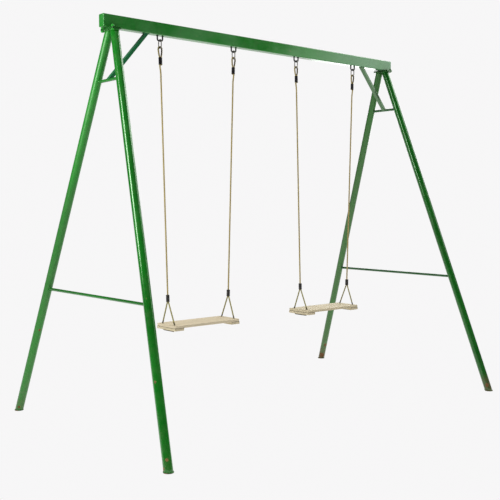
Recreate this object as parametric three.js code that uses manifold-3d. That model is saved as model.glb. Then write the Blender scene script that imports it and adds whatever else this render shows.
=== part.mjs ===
// Two-seat swing set: a rectangular steel top beam on two A-frames of round
// tube, each end stiffened by a lower crossbar, an upper crossbar and a knee
// brace, with two plank seats hung on ropes from U-shaped hangers.
//
// Millimetres. +X runs along the top beam, +Y across it (the way the seats
// swing), +Z is up. The origin is on the ground, under the middle of the beam.

import * as THREE from 'three';
import * as BufferGeometryUtils from 'three/addons/utils/BufferGeometryUtils.js';
import Module from 'manifold-3d';

const wasm = await Module();
wasm.setup();

// ------------------------------------------------------- driving dimensions
const GAP = 0.3; // air kept between pieces that touch

// top beam, rectangular hollow section
const BEAM_LENGTH = 2400;
const BEAM_WIDTH = 50; // Y
const BEAM_HEIGHT = 70; // Z
const BEAM_WALL = 3;
const BEAM_CORNER = 5; // outer corner radius
const BEAM_UNDERSIDE = 2236;
const CAP_THICKNESS = 3;

// flange plates between the beam and each A-frame
const PLATE_X = 60;
const PLATE_Y = 126;
const PLATE_THICKNESS = 6;
const PLATE_CENTRE_X = 1140;
const BOLT_D = 10;
const BOLT_X = 20.5; // bolt centres from the middle of the plate, on its outer side
const BOLT_Y = 53; // bolt centres from the middle of the beam
const BOLT_HEAD_AF = 16; // across flats
const BOLT_HEAD_H = 6.5;
const NUT_H = 8;
const BOLT_STICK_OUT = 4; // thread showing above the nut

// legs, round tube
const LEG_D = 48.3;
const LEG_WALL = 2.6;
const LEG_TOP = { x: 1133.2, y: 26.6 }; // axis at the underside of the leg plate
const LEG_FOOT = { x: 1334, y: 797.4 }; // axis at the ground
const FOOT_D = 54;
const FOOT_H = 4;

// bars of the A-frame
const LOWER_BAR_D = 17.2;
const LOWER_BAR_WALL = 2;
const LOWER_BAR_Z = 770;
const UPPER_BAR_D = 17.2;
const UPPER_BAR_WALL = 2;
const UPPER_BAR_Z = 1952.5;
const BRACE_X = 20; // rectangular tube: across it, in the plane of the beam
const BRACE_Y = 25;
const BRACE_WALL = 2;
const BRACE_TOP_X = 910; // axis where it meets the underside of the beam

// swings
const SWING_X = 541; // middle of each seat from the middle of the beam
const HANGER_HALF = 274; // hanger centres from the middle of the seat
const HANGER_ROD_D = 9;
const HANGER_SPACING = 36; // between the two legs of the U, centre to centre
const HANGER_BAR_Z = 2206.6; // axis of the bottom of the U
const HANGER_BEND = 13;
const LINK_WIRE_D = 6;
const LINK_RADIUS = 13; // centreline radius of the round ends
const ROPE_D = 10;
const EYE_RADIUS = 12; // centreline radius of the crown of the eye
const LOOP_D = 9; // rope loop that carries the seat
const SLEEVE_WIDE = 24; // across the two rope strands
const SLEEVE_NARROW = 17;
const UPPER_SLEEVE = { top: 2113, bottom: 2072 };
const LOWER_SLEEVE = { top: 741, bottom: 701 };
const STRAND_OFFSET = 5.3; // strand centres from the middle of a sleeve
const CUP_D = 15.4; // mouth of the lower sleeve, where the rope bends
const CUP_DEPTH = 10.5;
const PIVOT_DEPTH = 4; // the bend's centre, below the mouth
const LOWER_HALF = 229.6; // sleeves from the middle of the seat, at the pivot

// seat
const BOARD_X = 488;
const BOARD_Y = 188;
const BOARD_THICKNESS = 16;
const BOARD_TOP = 568;
const BOARD_CORNER = 10;
const BATTEN_X = 64;
const BATTEN_Y = 186;
const BATTEN_THICKNESS = 15;
const HOLE_Y = 62.5; // rope holes from the middle of the board
const ROPE_BEND = 18; // centreline radius of the loop under the board

// ------------------------------------------------------------- materials
const material = (color, roughness, metalness) =>
  new THREE.MeshStandardMaterial({ color, roughness, metalness });
const greenPaint = material(0x2a7a32, 0.3, 0.0);
const blackSteel = material(0x17181a, 0.45, 0.6);
const zincSteel = material(0xb9bcc0, 0.35, 0.9);
const ropeFibre = material(0xb7a382, 0.9, 0.0);
const blackPlastic = material(0x121113, 0.5, 0.0);
const pine = material(0xe6cfa2, 0.6, 0.0);

const root = new THREE.Group();
const frameGroup = new THREE.Group();
root.add(frameGroup);

const place = (parent, name, geometry, mat) => {
  const mesh = new THREE.Mesh(geometry, mat);
  mesh.name = name;
  parent.add(mesh);
  return mesh;
};

// ------------------------------------------------------- solids and booleans
const bare = (geometry) => {
  const g = geometry.index ? geometry.toNonIndexed() : geometry.clone();
  g.deleteAttribute('normal');
  g.deleteAttribute('uv');
  return BufferGeometryUtils.mergeVertices(g, 1e-4);
};
const solid = (geometry) => {
  const g = bare(geometry);
  return new wasm.Manifold(
    new wasm.Mesh({
      numProp: 3,
      vertProperties: new Float32Array(g.attributes.position.array),
      triVerts: new Uint32Array(g.index.array),
    }),
  );
};
const geometryOf = (manifold) => {
  const mesh = manifold.getMesh();
  const g = new THREE.BufferGeometry();
  g.setAttribute('position', new THREE.BufferAttribute(new Float32Array(mesh.vertProperties), 3));
  g.setIndex(new THREE.BufferAttribute(new Uint32Array(mesh.triVerts), 1));
  return g;
};
const box = (x0, x1, y0, y1, z0, z1) =>
  new THREE.BoxGeometry(x1 - x0, y1 - y0, z1 - z0).translate((x0 + x1) / 2, (y0 + y1) / 2, (z0 + z1) / 2);

// A round bar or tube between two points.
const between = (from, to, geometry) => {
  const dir = to.clone().sub(from).normalize();
  const q = new THREE.Quaternion().setFromUnitVectors(new THREE.Vector3(0, 1, 0), dir);
  const m = new THREE.Matrix4().compose(from.clone().add(to).multiplyScalar(0.5), q, new THREE.Vector3(1, 1, 1));
  return geometry.applyMatrix4(m);
};
const rod = (from, to, d, sides) =>
  between(from, to, new THREE.CylinderGeometry(d / 2, d / 2, from.distanceTo(to), sides));
const tube = (from, to, d, wall, sides) => {
  const h = from.distanceTo(to) / 2;
  const outer = d / 2;
  const inner = d / 2 - wall;
  const profile = [
    new THREE.Vector2(inner, -h),
    new THREE.Vector2(outer, -h),
    new THREE.Vector2(outer, h),
    new THREE.Vector2(inner, h),
    new THREE.Vector2(inner, -h),
  ];
  return between(from, to, new THREE.LatheGeometry(profile, sides));
};

// A path that passes through exactly the given points, one extrusion step
// for each interval, so straight runs cost one step and bends cost several.
class RoutePath extends THREE.Curve {
  constructor(points) {
    super();
    this.points = points;
    this.steps = points.length - 1;
  }
  getPoint(t, target = new THREE.Vector3()) {
    const s = Math.min(Math.max(t, 0), 1) * this.steps;
    const i = Math.min(Math.floor(s + 1e-9), this.steps - 1);
    return target.copy(this.points[i]).lerp(this.points[i + 1], s - i);
  }
  getPointAt(u, target) {
    return this.getPoint(u, target);
  }
  getTangent(t, target = new THREE.Vector3()) {
    const s = Math.min(Math.max(t, 0), 1) * this.steps;
    const i = Math.round(s);
    const before = i > 0 ? this.points[i].clone().sub(this.points[i - 1]).normalize() : null;
    const after = i < this.steps ? this.points[i + 1].clone().sub(this.points[i]).normalize() : null;
    if (before && after) return target.copy(before).add(after).normalize();
    return target.copy(before || after);
  }
  getTangentAt(u, target) {
    return this.getTangent(u, target);
  }
  getSpacedPoints() {
    return this.points.map((p) => p.clone());
  }
}
const along = (points, d, sides) => {
  const ring = [];
  for (let k = 0; k < sides; k++) {
    const a = (2 * Math.PI * (k + 0.5)) / sides;
    ring.push(new THREE.Vector2((d / 2) * Math.cos(a), (d / 2) * Math.sin(a)));
  }
  const path = new RoutePath(points);
  return new THREE.ExtrudeGeometry(new THREE.Shape(ring), {
    steps: path.steps,
    bevelEnabled: false,
    extrudePath: path,
  });
};

// Points of an arc in the plane of two unit vectors.
const arc = (centre, radius, u, v, from, to, count) => {
  const out = [];
  for (let k = 0; k <= count; k++) {
    const a = from + ((to - from) * k) / count;
    out.push(
      centre
        .clone()
        .addScaledVector(u, radius * Math.cos(a))
        .addScaledVector(v, radius * Math.sin(a)),
    );
  }
  return out;
};

const roundedRect = (shape, w, h, r) => {
  const x = w / 2;
  const y = h / 2;
  shape.moveTo(x, -y + r);
  shape.lineTo(x, y - r);
  shape.absarc(x - r, y - r, r, 0, Math.PI / 2, false);
  shape.lineTo(-x + r, y);
  shape.absarc(-x + r, y - r, r, Math.PI / 2, Math.PI, false);
  shape.lineTo(-x, -y + r);
  shape.absarc(-x + r, -y + r, r, Math.PI, 1.5 * Math.PI, false);
  shape.lineTo(x - r, -y);
  shape.absarc(x - r, -y + r, r, 1.5 * Math.PI, 2 * Math.PI, false);
  return shape;
};
const polygon = (shape, x, y, r, sides, turn) => {
  for (let k = 0; k < sides; k++) {
    const a = (2 * Math.PI * k) / sides + turn;
    if (k) shape.lineTo(x + r * Math.cos(a), y + r * Math.sin(a));
    else shape.moveTo(x + r * Math.cos(a), y + r * Math.sin(a));
  }
  shape.closePath();
  return shape;
};
// Extrudes a shape drawn in the Y-Z plane along +X from x0 to x1.
const alongX = (shape, x0, x1, segments) =>
  new THREE.ExtrudeGeometry(shape, { depth: x1 - x0, bevelEnabled: false, curveSegments: segments }).applyMatrix4(
    new THREE.Matrix4().makeBasis(
      new THREE.Vector3(0, 1, 0),
      new THREE.Vector3(0, 0, 1),
      new THREE.Vector3(1, 0, 0),
    ),
  ).translate(x0, 0, 0);
// Extrudes a shape drawn in the X-Y plane up +Z from z0 to z1.
const alongZ = (shape, z0, z1, segments) =>
  new THREE.ExtrudeGeometry(shape, { depth: z1 - z0, bevelEnabled: false, curveSegments: segments }).translate(0, 0, z0);

const V = (x, y, z) => new THREE.Vector3(x, y, z);
const X = V(1, 0, 0);
const Y = V(0, 1, 0);
const Z = V(0, 0, 1);
const ENDS = [
  ['left', -1],
  ['right', 1],
];
const SIDES = [
  ['front', -1],
  ['back', 1],
];

// ------------------------------------------------------------------- beam
{
  const shape = roundedRect(new THREE.Shape(), BEAM_WIDTH, BEAM_HEIGHT, BEAM_CORNER);
  shape.holes.push(
    roundedRect(
      new THREE.Path(),
      BEAM_WIDTH - 2 * BEAM_WALL,
      BEAM_HEIGHT - 2 * BEAM_WALL,
      BEAM_CORNER - BEAM_WALL,
    ),
  );
  const half = BEAM_LENGTH / 2 - CAP_THICKNESS - GAP;
  const mid = BEAM_UNDERSIDE + BEAM_HEIGHT / 2;
  place(frameGroup, 'beam', alongX(shape, -half, half, 2).translate(0, 0, mid), greenPaint);
  for (const [side, s] of ENDS) {
    const outer = (s * BEAM_LENGTH) / 2;
    const inner = outer - s * CAP_THICKNESS;
    const cap = roundedRect(new THREE.Shape(), BEAM_WIDTH, BEAM_HEIGHT, BEAM_CORNER);
    place(
      frameGroup,
      `beam_end_cap_${side}`,
      alongX(cap, Math.min(outer, inner), Math.max(outer, inner), 2).translate(0, 0, mid),
      greenPaint,
    );
  }
}

// --------------------------------------------------------- flanges and bolts
const BEAM_PLATE_TOP = BEAM_UNDERSIDE - GAP;
const BEAM_PLATE_BOTTOM = BEAM_PLATE_TOP - PLATE_THICKNESS;
const LEG_PLATE_TOP = BEAM_PLATE_BOTTOM - GAP;
const LEG_PLATE_BOTTOM = LEG_PLATE_TOP - PLATE_THICKNESS;
const LEG_TOP_Z = LEG_PLATE_BOTTOM - GAP;
for (const [end, s] of ENDS) {
  const cx = s * PLATE_CENTRE_X;
  const plate = () => {
    const shape = roundedRect(new THREE.Shape(), PLATE_X, PLATE_Y, 6);
    for (const [, t] of SIDES) {
      shape.holes.push(polygon(new THREE.Path(), s * BOLT_X, t * BOLT_Y, BOLT_D / 2 + 0.6, 12, 0));
    }
    return shape;
  };
  place(frameGroup, `beam_flange_${end}`, alongZ(plate(), BEAM_PLATE_BOTTOM, BEAM_PLATE_TOP, 2).translate(cx, 0, 0), greenPaint);
  place(frameGroup, `leg_flange_${end}`, alongZ(plate(), LEG_PLATE_BOTTOM, LEG_PLATE_TOP, 2).translate(cx, 0, 0), greenPaint);
  for (const [side, t] of SIDES) {
    const top = BEAM_PLATE_TOP + GAP + NUT_H + BOLT_STICK_OUT;
    const under = LEG_PLATE_BOTTOM - GAP;
    const profile = [
      [0, under - BOLT_HEAD_H],
      [BOLT_HEAD_AF / 2 / Math.cos(Math.PI / 6), under - BOLT_HEAD_H],
      [BOLT_HEAD_AF / 2 / Math.cos(Math.PI / 6), under],
      [0, under],
    ].map(([r, z]) => new THREE.Vector2(r, z));
    const head = solid(new THREE.LatheGeometry(profile, 6).rotateX(Math.PI / 2).rotateZ(Math.PI / 6));
    const shank = solid(rod(V(0, 0, under - 1), V(0, 0, top), BOLT_D, 12));
    const bolt = head.add(shank);
    place(frameGroup, `flange_bolt_${end}_${side}`, geometryOf(bolt).translate(cx + s * BOLT_X, t * BOLT_Y, 0), zincSteel);
    const hex = polygon(new THREE.Shape(), 0, 0, BOLT_HEAD_AF / 2 / Math.cos(Math.PI / 6), 6, Math.PI / 6);
    hex.holes.push(polygon(new THREE.Path(), 0, 0, (BOLT_D / 2 + GAP) / Math.cos(Math.PI / 12), 12, 0));
    place(
      frameGroup,
      `flange_nut_${end}_${side}`,
      alongZ(hex, BEAM_PLATE_TOP + GAP, BEAM_PLATE_TOP + GAP + NUT_H, 6).translate(cx + s * BOLT_X, t * BOLT_Y, 0),
      zincSteel,
    );
  }
}

// --------------------------------------------------------------- A-frames
const legPoint = (s, t, z) => {
  const k = 1 - z / LEG_TOP_Z;
  return V(
    s * (LEG_TOP.x + (LEG_FOOT.x - LEG_TOP.x) * k),
    t * (LEG_TOP.y + (LEG_FOOT.y - LEG_TOP.y) * k),
    z,
  );
};
for (const [end, s] of ENDS) {
  const legs = {};
  for (const [side, t] of SIDES) {
    const from = legPoint(s, t, -60);
    const to = legPoint(s, t, LEG_TOP_Z + 60);
    const keep = solid(box(-1600, 1600, -1000, 1000, FOOT_H + GAP, LEG_TOP_Z));
    const leg = solid(tube(from, to, LEG_D, LEG_WALL, 28)).intersect(keep);
    place(frameGroup, `leg_${end}_${side}`, geometryOf(leg), greenPaint);
    legs[side] = solid(rod(from, to, LEG_D + 2 * GAP, 28));
    const foot = legPoint(s, t, 0);
    const disc = new THREE.CylinderGeometry(FOOT_D / 2, FOOT_D / 2, FOOT_H, 28).rotateX(Math.PI / 2);
    place(frameGroup, `foot_${end}_${side}`, disc.translate(foot.x, foot.y, FOOT_H / 2), greenPaint);
  }
  const coped = (bar) => bar.subtract(legs.front).subtract(legs.back).decompose();
  const middle = (pieces) =>
    pieces.reduce((best, m) => {
      const b = m.boundingBox();
      const reach = Math.abs(b.min[1] + b.max[1]);
      return best && best.reach <= reach ? best : { m, reach };
    }, null).m;
  const lower = solid(
    tube(V(legPoint(s, -1, LOWER_BAR_Z).x, -legPoint(s, 1, LOWER_BAR_Z).y, LOWER_BAR_Z),
      V(legPoint(s, 1, LOWER_BAR_Z).x, legPoint(s, 1, LOWER_BAR_Z).y, LOWER_BAR_Z), LOWER_BAR_D, LOWER_BAR_WALL, 16),
  );
  place(frameGroup, `lower_crossbar_${end}`, geometryOf(middle(coped(lower))), greenPaint);
  const ux = legPoint(s, 1, UPPER_BAR_Z).x;
  const uy = legPoint(s, 1, UPPER_BAR_Z).y;
  const upper = solid(tube(V(ux, -uy, UPPER_BAR_Z), V(ux, uy, UPPER_BAR_Z), UPPER_BAR_D, UPPER_BAR_WALL, 16));
  place(frameGroup, `upper_crossbar_${end}`, geometryOf(middle(coped(upper))), greenPaint);

  // knee brace, from the middle of the upper crossbar to the beam
  const low = V(ux, 0, UPPER_BAR_Z);
  const high = V(s * BRACE_TOP_X, 0, BEAM_UNDERSIDE);
  const dir = high.clone().sub(low).normalize();
  const start = low.clone().addScaledVector(dir, 3);
  const finish = high.clone().addScaledVector(dir, 40);
  const section = (x, y, extra) =>
    solid(
      new THREE.BoxGeometry(x, y, start.distanceTo(finish) + extra)
        .rotateY(Math.atan2(dir.x, dir.z))
        .translate(...start.clone().add(finish).multiplyScalar(0.5).toArray()),
    );
  const brace = section(BRACE_X, BRACE_Y, 0)
    .subtract(section(BRACE_X - 2 * BRACE_WALL, BRACE_Y - 2 * BRACE_WALL, 2))
    .intersect(solid(box(-1600, 1600, -200, 200, UPPER_BAR_Z - 60, BEAM_UNDERSIDE - GAP)))
    .subtract(solid(rod(V(ux, -60, UPPER_BAR_Z), V(ux, 60, UPPER_BAR_Z), UPPER_BAR_D + 2 * GAP, 16)));
  const pieces = brace.decompose();
  pieces.sort((a, b) => b.volume() - a.volume());
  place(frameGroup, `knee_brace_${end}`, geometryOf(pieces[0]), greenPaint);
}

// ----------------------------------------------------------------- swings
// The ropes lean in a little, because the seat is narrower than the hangers'
// spacing. Everything on a rope, and the loops below it, follows that line.
const EYE_INNER = HANGER_BAR_Z + HANGER_ROD_D / 2 + GAP + LINK_WIRE_D / 2; // top of the link, wire centre
const EYE_TOP = 2173.9; // rope centre at the crown of the eye
const LINK_BOTTOM = EYE_TOP - ROPE_D / 2 - GAP - LINK_WIRE_D / 2; // wire centre
const LINK_PIVOT = LINK_BOTTOM + LINK_RADIUS; // centre of the link's lower round end
const SEAT_PIVOT = LOWER_SLEEVE.top - PIVOT_DEPTH;
const LEAN = (HANGER_HALF - LOWER_HALF) / (EYE_TOP - SEAT_PIVOT);
const halfAt = (z) => HANGER_HALF - (EYE_TOP - z) * LEAN;

const link = () => {
  const h = (EYE_INNER - LINK_BOTTOM) / 2 - LINK_RADIUS;
  const g = bare(new THREE.TorusGeometry(LINK_RADIUS, LINK_WIRE_D / 2, 8, 20));
  const p = g.attributes.position;
  for (let i = 0; i < p.count; i++) {
    const y = p.getY(i);
    if (y > 1e-3) p.setY(i, y + h);
    if (y < -1e-3) p.setY(i, y - h);
  }
  // the ring is drawn in X-Y and stands in the Y-Z plane
  g.applyMatrix4(new THREE.Matrix4().makeBasis(Y, Z, X));
  return g.translate(0, 0, (EYE_INNER + LINK_BOTTOM) / 2);
};

// oval sleeve, wide along X or Y, with its bores cut from both ends
const sleeveShape = (wide, narrow, along_x) => {
  const shape = new THREE.Shape();
  shape.absellipse(0, 0, (along_x ? wide : narrow) / 2, (along_x ? narrow : wide) / 2, 0, 2 * Math.PI, false, 0);
  return shape;
};
const slotShape = (along_x) => {
  // round-ended slot that takes two strands side by side
  const r = (LOOP_D + 1.2) / 2 > (ROPE_D + 0.8) / 2 ? (LOOP_D + 1.2) / 2 : (ROPE_D + 0.8) / 2;
  const c = STRAND_OFFSET;
  const shape = new THREE.Shape();
  if (along_x) {
    shape.moveTo(c, -r);
    shape.absarc(c, 0, r, -Math.PI / 2, Math.PI / 2, false);
    shape.lineTo(-c, r);
    shape.absarc(-c, 0, r, Math.PI / 2, 1.5 * Math.PI, false);
  } else {
    shape.moveTo(r, -c);
    shape.lineTo(r, c);
    shape.absarc(0, c, r, 0, Math.PI, false);
    shape.lineTo(-r, -c);
    shape.absarc(0, -c, r, Math.PI, 2 * Math.PI, false);
  }
  shape.closePath();
  return shape;
};

for (const [name, sx] of [
  ['left', -1],
  ['right', 1],
]) {
  const cx = sx * SWING_X;
  const boardTools = [];
  for (const [rope, r] of [
    ['a', -1],
    ['b', 1],
  ]) {
    const id = `${name}_${rope}`;
    const hx = cx + r * HANGER_HALF;
    // a point on the rope's leaning line
    const on = (z, dx = 0, dy = 0) => V(cx + r * halfAt(z) + dx, dy, z);
    const leanOf = new THREE.Matrix4().makeRotationY(r * Math.atan(LEAN));

    // U hanger, its legs along Z and its bottom along X
    {
      const w = HANGER_SPACING / 2;
      const b = HANGER_BEND;
      const top = BEAM_UNDERSIDE - GAP;
      const pts = [
        V(hx - w, 0, top),
        ...arc(V(hx - w + b, 0, HANGER_BAR_Z + b), b, X, Z, Math.PI, 1.5 * Math.PI, 5),
        ...arc(V(hx + w - b, 0, HANGER_BAR_Z + b), b, X, Z, 1.5 * Math.PI, 2 * Math.PI, 5),
        V(hx + w, 0, top),
      ];
      place(frameGroup, `hanger_${id}`, along(pts, HANGER_ROD_D, 10), blackSteel);
    }

    // oval link
    place(root, `link_${id}`, link().translate(hx, 0, 0), zincSteel);

    // main rope: tail in the sleeve, round the eye, back through the sleeve
    // and straight down into the mouth of the lower sleeve
    {
      const centre = V(hx, 0, EYE_TOP - EYE_RADIUS);
      const sleeveX = (z) => on(z).x;
      const from = UPPER_SLEEVE.bottom - 3;
      const mouth = UPPER_SLEEVE.top;
      const tail = -r * STRAND_OFFSET; // the tail lies on the inner side
      const pts = [
        V(sleeveX(from) + tail, 0, from),
        V(sleeveX(mouth + 1) + tail, 0, mouth + 1),
        V(sleeveX(mouth + 9) + tail * 1.25, 0, mouth + 9),
        V(sleeveX(mouth + 21) + tail * 1.85, 0, mouth + 21),
        V(hx + (tail > 0 ? 1 : -1) * EYE_RADIUS, 0, centre.z - 8),
        ...arc(centre, EYE_RADIUS, X, Z, tail > 0 ? 0 : Math.PI, tail > 0 ? Math.PI : 0, 10),
        V(hx - (tail > 0 ? 1 : -1) * EYE_RADIUS, 0, centre.z - 8),
        V(sleeveX(mouth + 21) - tail * 1.85, 0, mouth + 21),
        V(sleeveX(mouth + 9) - tail * 1.25, 0, mouth + 9),
        V(sleeveX(mouth + 1) - tail, 0, mouth + 1),
        V(sleeveX(UPPER_SLEEVE.bottom - 1) - tail, 0, UPPER_SLEEVE.bottom - 1),
        V(sleeveX(from - 12) - tail * 0.72, 0, from - 12),
        V(sleeveX(from - 28) - tail * 0.3, 0, from - 28),
        V(sleeveX(from - 45), 0, from - 45),
        on(LOWER_SLEEVE.top - 8),
      ];
      place(root, `rope_${id}`, along(pts, ROPE_D, 8), ropeFibre);
    }

    // upper sleeve
    {
      const h = UPPER_SLEEVE.top - UPPER_SLEEVE.bottom;
      const outer = solid(alongZ(sleeveShape(SLEEVE_WIDE, SLEEVE_NARROW, true), 0, h, 10));
      const bore = solid(alongZ(slotShape(true), -1, h + 1, 3));
      const g = geometryOf(outer.subtract(bore)).applyMatrix4(leanOf);
      const foot = on(UPPER_SLEEVE.bottom);
      place(root, `upper_sleeve_${id}`, g.translate(foot.x, 0, foot.z), blackPlastic);
    }

    // lower sleeve: a cup for the rope above, a slot for the loop below
    {
      const h = LOWER_SLEEVE.top - LOWER_SLEEVE.bottom;
      const outer = solid(alongZ(sleeveShape(SLEEVE_WIDE, SLEEVE_NARROW + 2, false), 0, h, 10));
      const cupHole = new THREE.Shape();
      cupHole.absarc(0, 0, CUP_D / 2, 0, 2 * Math.PI, false);
      const cup = solid(alongZ(cupHole, h - CUP_DEPTH, h + 1, 8));
      const bore = solid(alongZ(slotShape(false), -1, h - CUP_DEPTH - 4, 3));
      const g = geometryOf(outer.subtract(cup).subtract(bore)).applyMatrix4(leanOf);
      const foot = on(LOWER_SLEEVE.bottom);
      place(root, `lower_sleeve_${id}`, g.translate(foot.x, 0, foot.z), blackPlastic);
    }

    // seat loop: out of the sleeve, down through one hole, under the batten
    // and back up through the other hole
    {
      const under = BOARD_TOP - BOARD_THICKNESS - GAP - BATTEN_THICKNESS - GAP - LOOP_D / 2;
      const start = LOWER_SLEEVE.top - CUP_DEPTH - 6;
      const leave = LOWER_SLEEVE.bottom - 1; // strands part just below the sleeve
      const splay = Math.atan2(HOLE_Y - STRAND_OFFSET, leave - (BOARD_TOP - 4));
      const bend = 20;
      const half = (t) => {
        // one strand, from the sleeve down to the middle under the batten
        const turn = bend * Math.tan(splay / 2);
        const corner = BOARD_TOP - 4; // where the straight lines would cross
        const path = [];
        const at = (z, y) => V(on(z).x, t * y, z);
        path.push(at(start, STRAND_OFFSET));
        path.push(at(leave + 4, STRAND_OFFSET));
        path.push(at(leave - 3, STRAND_OFFSET + 0.9));
        // straight slanting run
        const slant = (z) => STRAND_OFFSET + ((HOLE_Y - STRAND_OFFSET) * (leave - z)) / (leave - corner);
        path.push(at(leave - 11, slant(leave - 11)));
        // the bend into the hole
        for (let k = 0; k <= 3; k++) {
          const a = splay * (1 - k / 3);
          // centre of the bend lies on the inner side
          const yc = HOLE_Y - bend;
          const zc = corner - turn;
          path.push(at(zc + bend * Math.sin(a), yc + bend * Math.cos(a)));
        }
        // down through the board and batten and round under them
        const zc = under + ROPE_BEND;
        for (let k = 0; k <= 5; k++) {
          const a = (Math.PI / 2) * (k / 5);
          const z = zc - ROPE_BEND * Math.sin(a);
          const y = HOLE_Y - ROPE_BEND + ROPE_BEND * Math.cos(a);
          path.push(V(on(Math.max(z, under)).x, t * y, z));
        }
        return path;
      };
      const left = half(-1);
      const right = half(1).reverse();
      const pts = [...left, ...right];
      place(root, `seat_loop_${id}`, along(pts, LOOP_D, 8), ropeFibre);
      const trimmed = [...left.slice(3), ...right.slice(0, -3)];
      boardTools.push(solid(along(trimmed, LOOP_D + 1.0, 8)));
    }
  }

  // seat board and its two battens, bored for the ropes
  const cut = (geometry) => boardTools.reduce((m, tool) => m.subtract(tool), solid(geometry));
  const biggest = (m) => m.decompose().sort((a, b) => b.volume() - a.volume())[0];
  const board = roundedRect(new THREE.Shape(), BOARD_X, BOARD_Y, BOARD_CORNER);
  place(
    root,
    `seat_board_${name}`,
    geometryOf(biggest(cut(alongZ(board, BOARD_TOP - BOARD_THICKNESS, BOARD_TOP, 2).translate(cx, 0, 0)))),
    pine,
  );
  for (const [rope, r] of [
    ['a', -1],
    ['b', 1],
  ]) {
    const top = BOARD_TOP - BOARD_THICKNESS - GAP;
    const outer = cx + r * (BOARD_X / 2 - 1);
    const inner = outer - r * BATTEN_X;
    const batten = box(Math.min(outer, inner), Math.max(outer, inner), -BATTEN_Y / 2, BATTEN_Y / 2, top - BATTEN_THICKNESS, top);
    place(root, `seat_batten_${name}_${rope}`, geometryOf(biggest(cut(batten))), pine);
  }
}

export default root;
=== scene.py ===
import math

import bpy
import numpy as np
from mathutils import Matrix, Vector
from mathutils.geometry import tessellate_polygon


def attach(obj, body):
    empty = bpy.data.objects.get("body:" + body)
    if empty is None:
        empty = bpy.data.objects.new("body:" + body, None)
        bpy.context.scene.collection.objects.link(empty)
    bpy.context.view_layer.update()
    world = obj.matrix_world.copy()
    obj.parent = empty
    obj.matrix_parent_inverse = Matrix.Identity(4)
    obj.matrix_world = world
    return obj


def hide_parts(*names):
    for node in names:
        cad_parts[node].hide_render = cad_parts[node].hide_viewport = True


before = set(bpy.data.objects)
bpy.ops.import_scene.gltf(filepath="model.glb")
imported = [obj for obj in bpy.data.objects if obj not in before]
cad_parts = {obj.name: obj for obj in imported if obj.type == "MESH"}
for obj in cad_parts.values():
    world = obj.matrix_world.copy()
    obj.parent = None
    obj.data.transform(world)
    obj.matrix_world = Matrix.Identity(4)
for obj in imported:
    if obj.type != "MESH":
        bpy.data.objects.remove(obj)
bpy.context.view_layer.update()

# Two-seat swing set: a painted steel frame with two plank seats on laid ropes.
# Everything is in metres in the row's frame: +X along the top beam, +Y across
# it, +Z up, the origin on the ground under the middle of the beam.

MM = 0.001
scene = bpy.context.scene

# ---------------------------------------------------------------- the camera
cam_data = bpy.data.cameras.new("camera")
cam_data.sensor_width = 36.0
cam_data.lens = 60.364
cam_data.clip_start, cam_data.clip_end = 0.05, 200.0
camera = bpy.data.objects.new("camera", cam_data)
camera.location = (-3.6047, -4.0185, 1.2801)
camera.rotation_mode = "QUATERNION"
camera.rotation_quaternion = Vector((0.65272, 0.75552, -0.05606)).to_track_quat("-Z", "Y")
scene.collection.objects.link(camera)
scene.camera = camera

# ------------------------------------------------- sizes shared with the frame
BEAM_UNDERSIDE = 2236.0
BEAM_TOP = 2306.0
LEG_TOP_Z = 2223.1
LEG_D, LEG_WALL = 48.3, 2.6
LEG_TOP = (1133.2, 26.6)
LEG_FOOT = (1334.0, 797.4)
LOWER_BAR_Z, LOWER_BAR_D = 770.0, 17.2
UPPER_BAR_Z, UPPER_BAR_D = 1952.5, 17.2
BRACE_X, BRACE_Y, BRACE_WALL, BRACE_TOP_X = 20.0, 25.0, 2.0, 910.0
SWING_X, HANGER_HALF = 541.0, 274.0
HANGER_BAR_Z, HANGER_BEND, HANGER_W, HANGER_ROD_D = 2206.6, 13.0, 18.0, 9.0
ROPE_D, LOOP_D = 10.0, 9.0
EYE_TOP, EYE_RADIUS = 2173.9, 12.0
LINK_TOP_WIRE, LINK_LOW_WIRE, LINK_RADIUS, LINK_WIRE_D = 2214.4, 2165.6, 13.0, 6.0
UPPER_SLEEVE = (2072.0, 2113.0)
LOWER_SLEEVE = (701.0, 741.0)
STRAND = 5.3
LOWER_HALF = 229.6
SEAT_PIVOT = 737.0
LEAN = (HANGER_HALF - LOWER_HALF) / (EYE_TOP - SEAT_PIVOT)
BOARD_TOP, BOARD_T, BATTEN_T = 568.0, 16.0, 15.0
BOARD_X, BOARD_Y = 488.0, 188.0
BATTEN_X, BATTEN_Y = 64.0, 186.0
HOLE_Y, ROPE_BEND = 62.5, 18.0

ENDS = (("left", -1), ("right", 1))
SIDES = (("front", -1), ("back", 1))
ROPES = (("a", -1), ("b", 1))


def half_at(z):
    return HANGER_HALF - (EYE_TOP - z) * LEAN


# ================================================================ mesh helpers
def orient(verts, faces):
    """Turns a closed shell's faces outward."""
    v = np.asarray(verts, float)
    total = 0.0
    for f in faces:
        a = v[f[0]]
        for k in range(1, len(f) - 1):
            total += float(np.dot(a, np.cross(v[f[k]], v[f[k + 1]])))
    return [tuple(reversed(f)) for f in faces] if total < 0 else faces


def grid_quads(m, n, wrap_rows, wrap_ring=True):
    i = np.arange(m if wrap_rows else m - 1)
    j = np.arange(n if wrap_ring else n - 1)
    a, b = np.meshgrid(i, j, indexing="ij")
    a2, b2 = (a + 1) % m, (b + 1) % n
    return np.stack([a * n + b, a * n + b2, a2 * n + b2, a2 * n + b], axis=-1).reshape(-1, 4)


def volume_of_quads(v, q):
    a, b, c, d = (v[q[:, k]] for k in range(4))
    return float((np.einsum("ij,ij->i", a, np.cross(b, c)) + np.einsum("ij,ij->i", a, np.cross(c, d))).sum())


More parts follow.
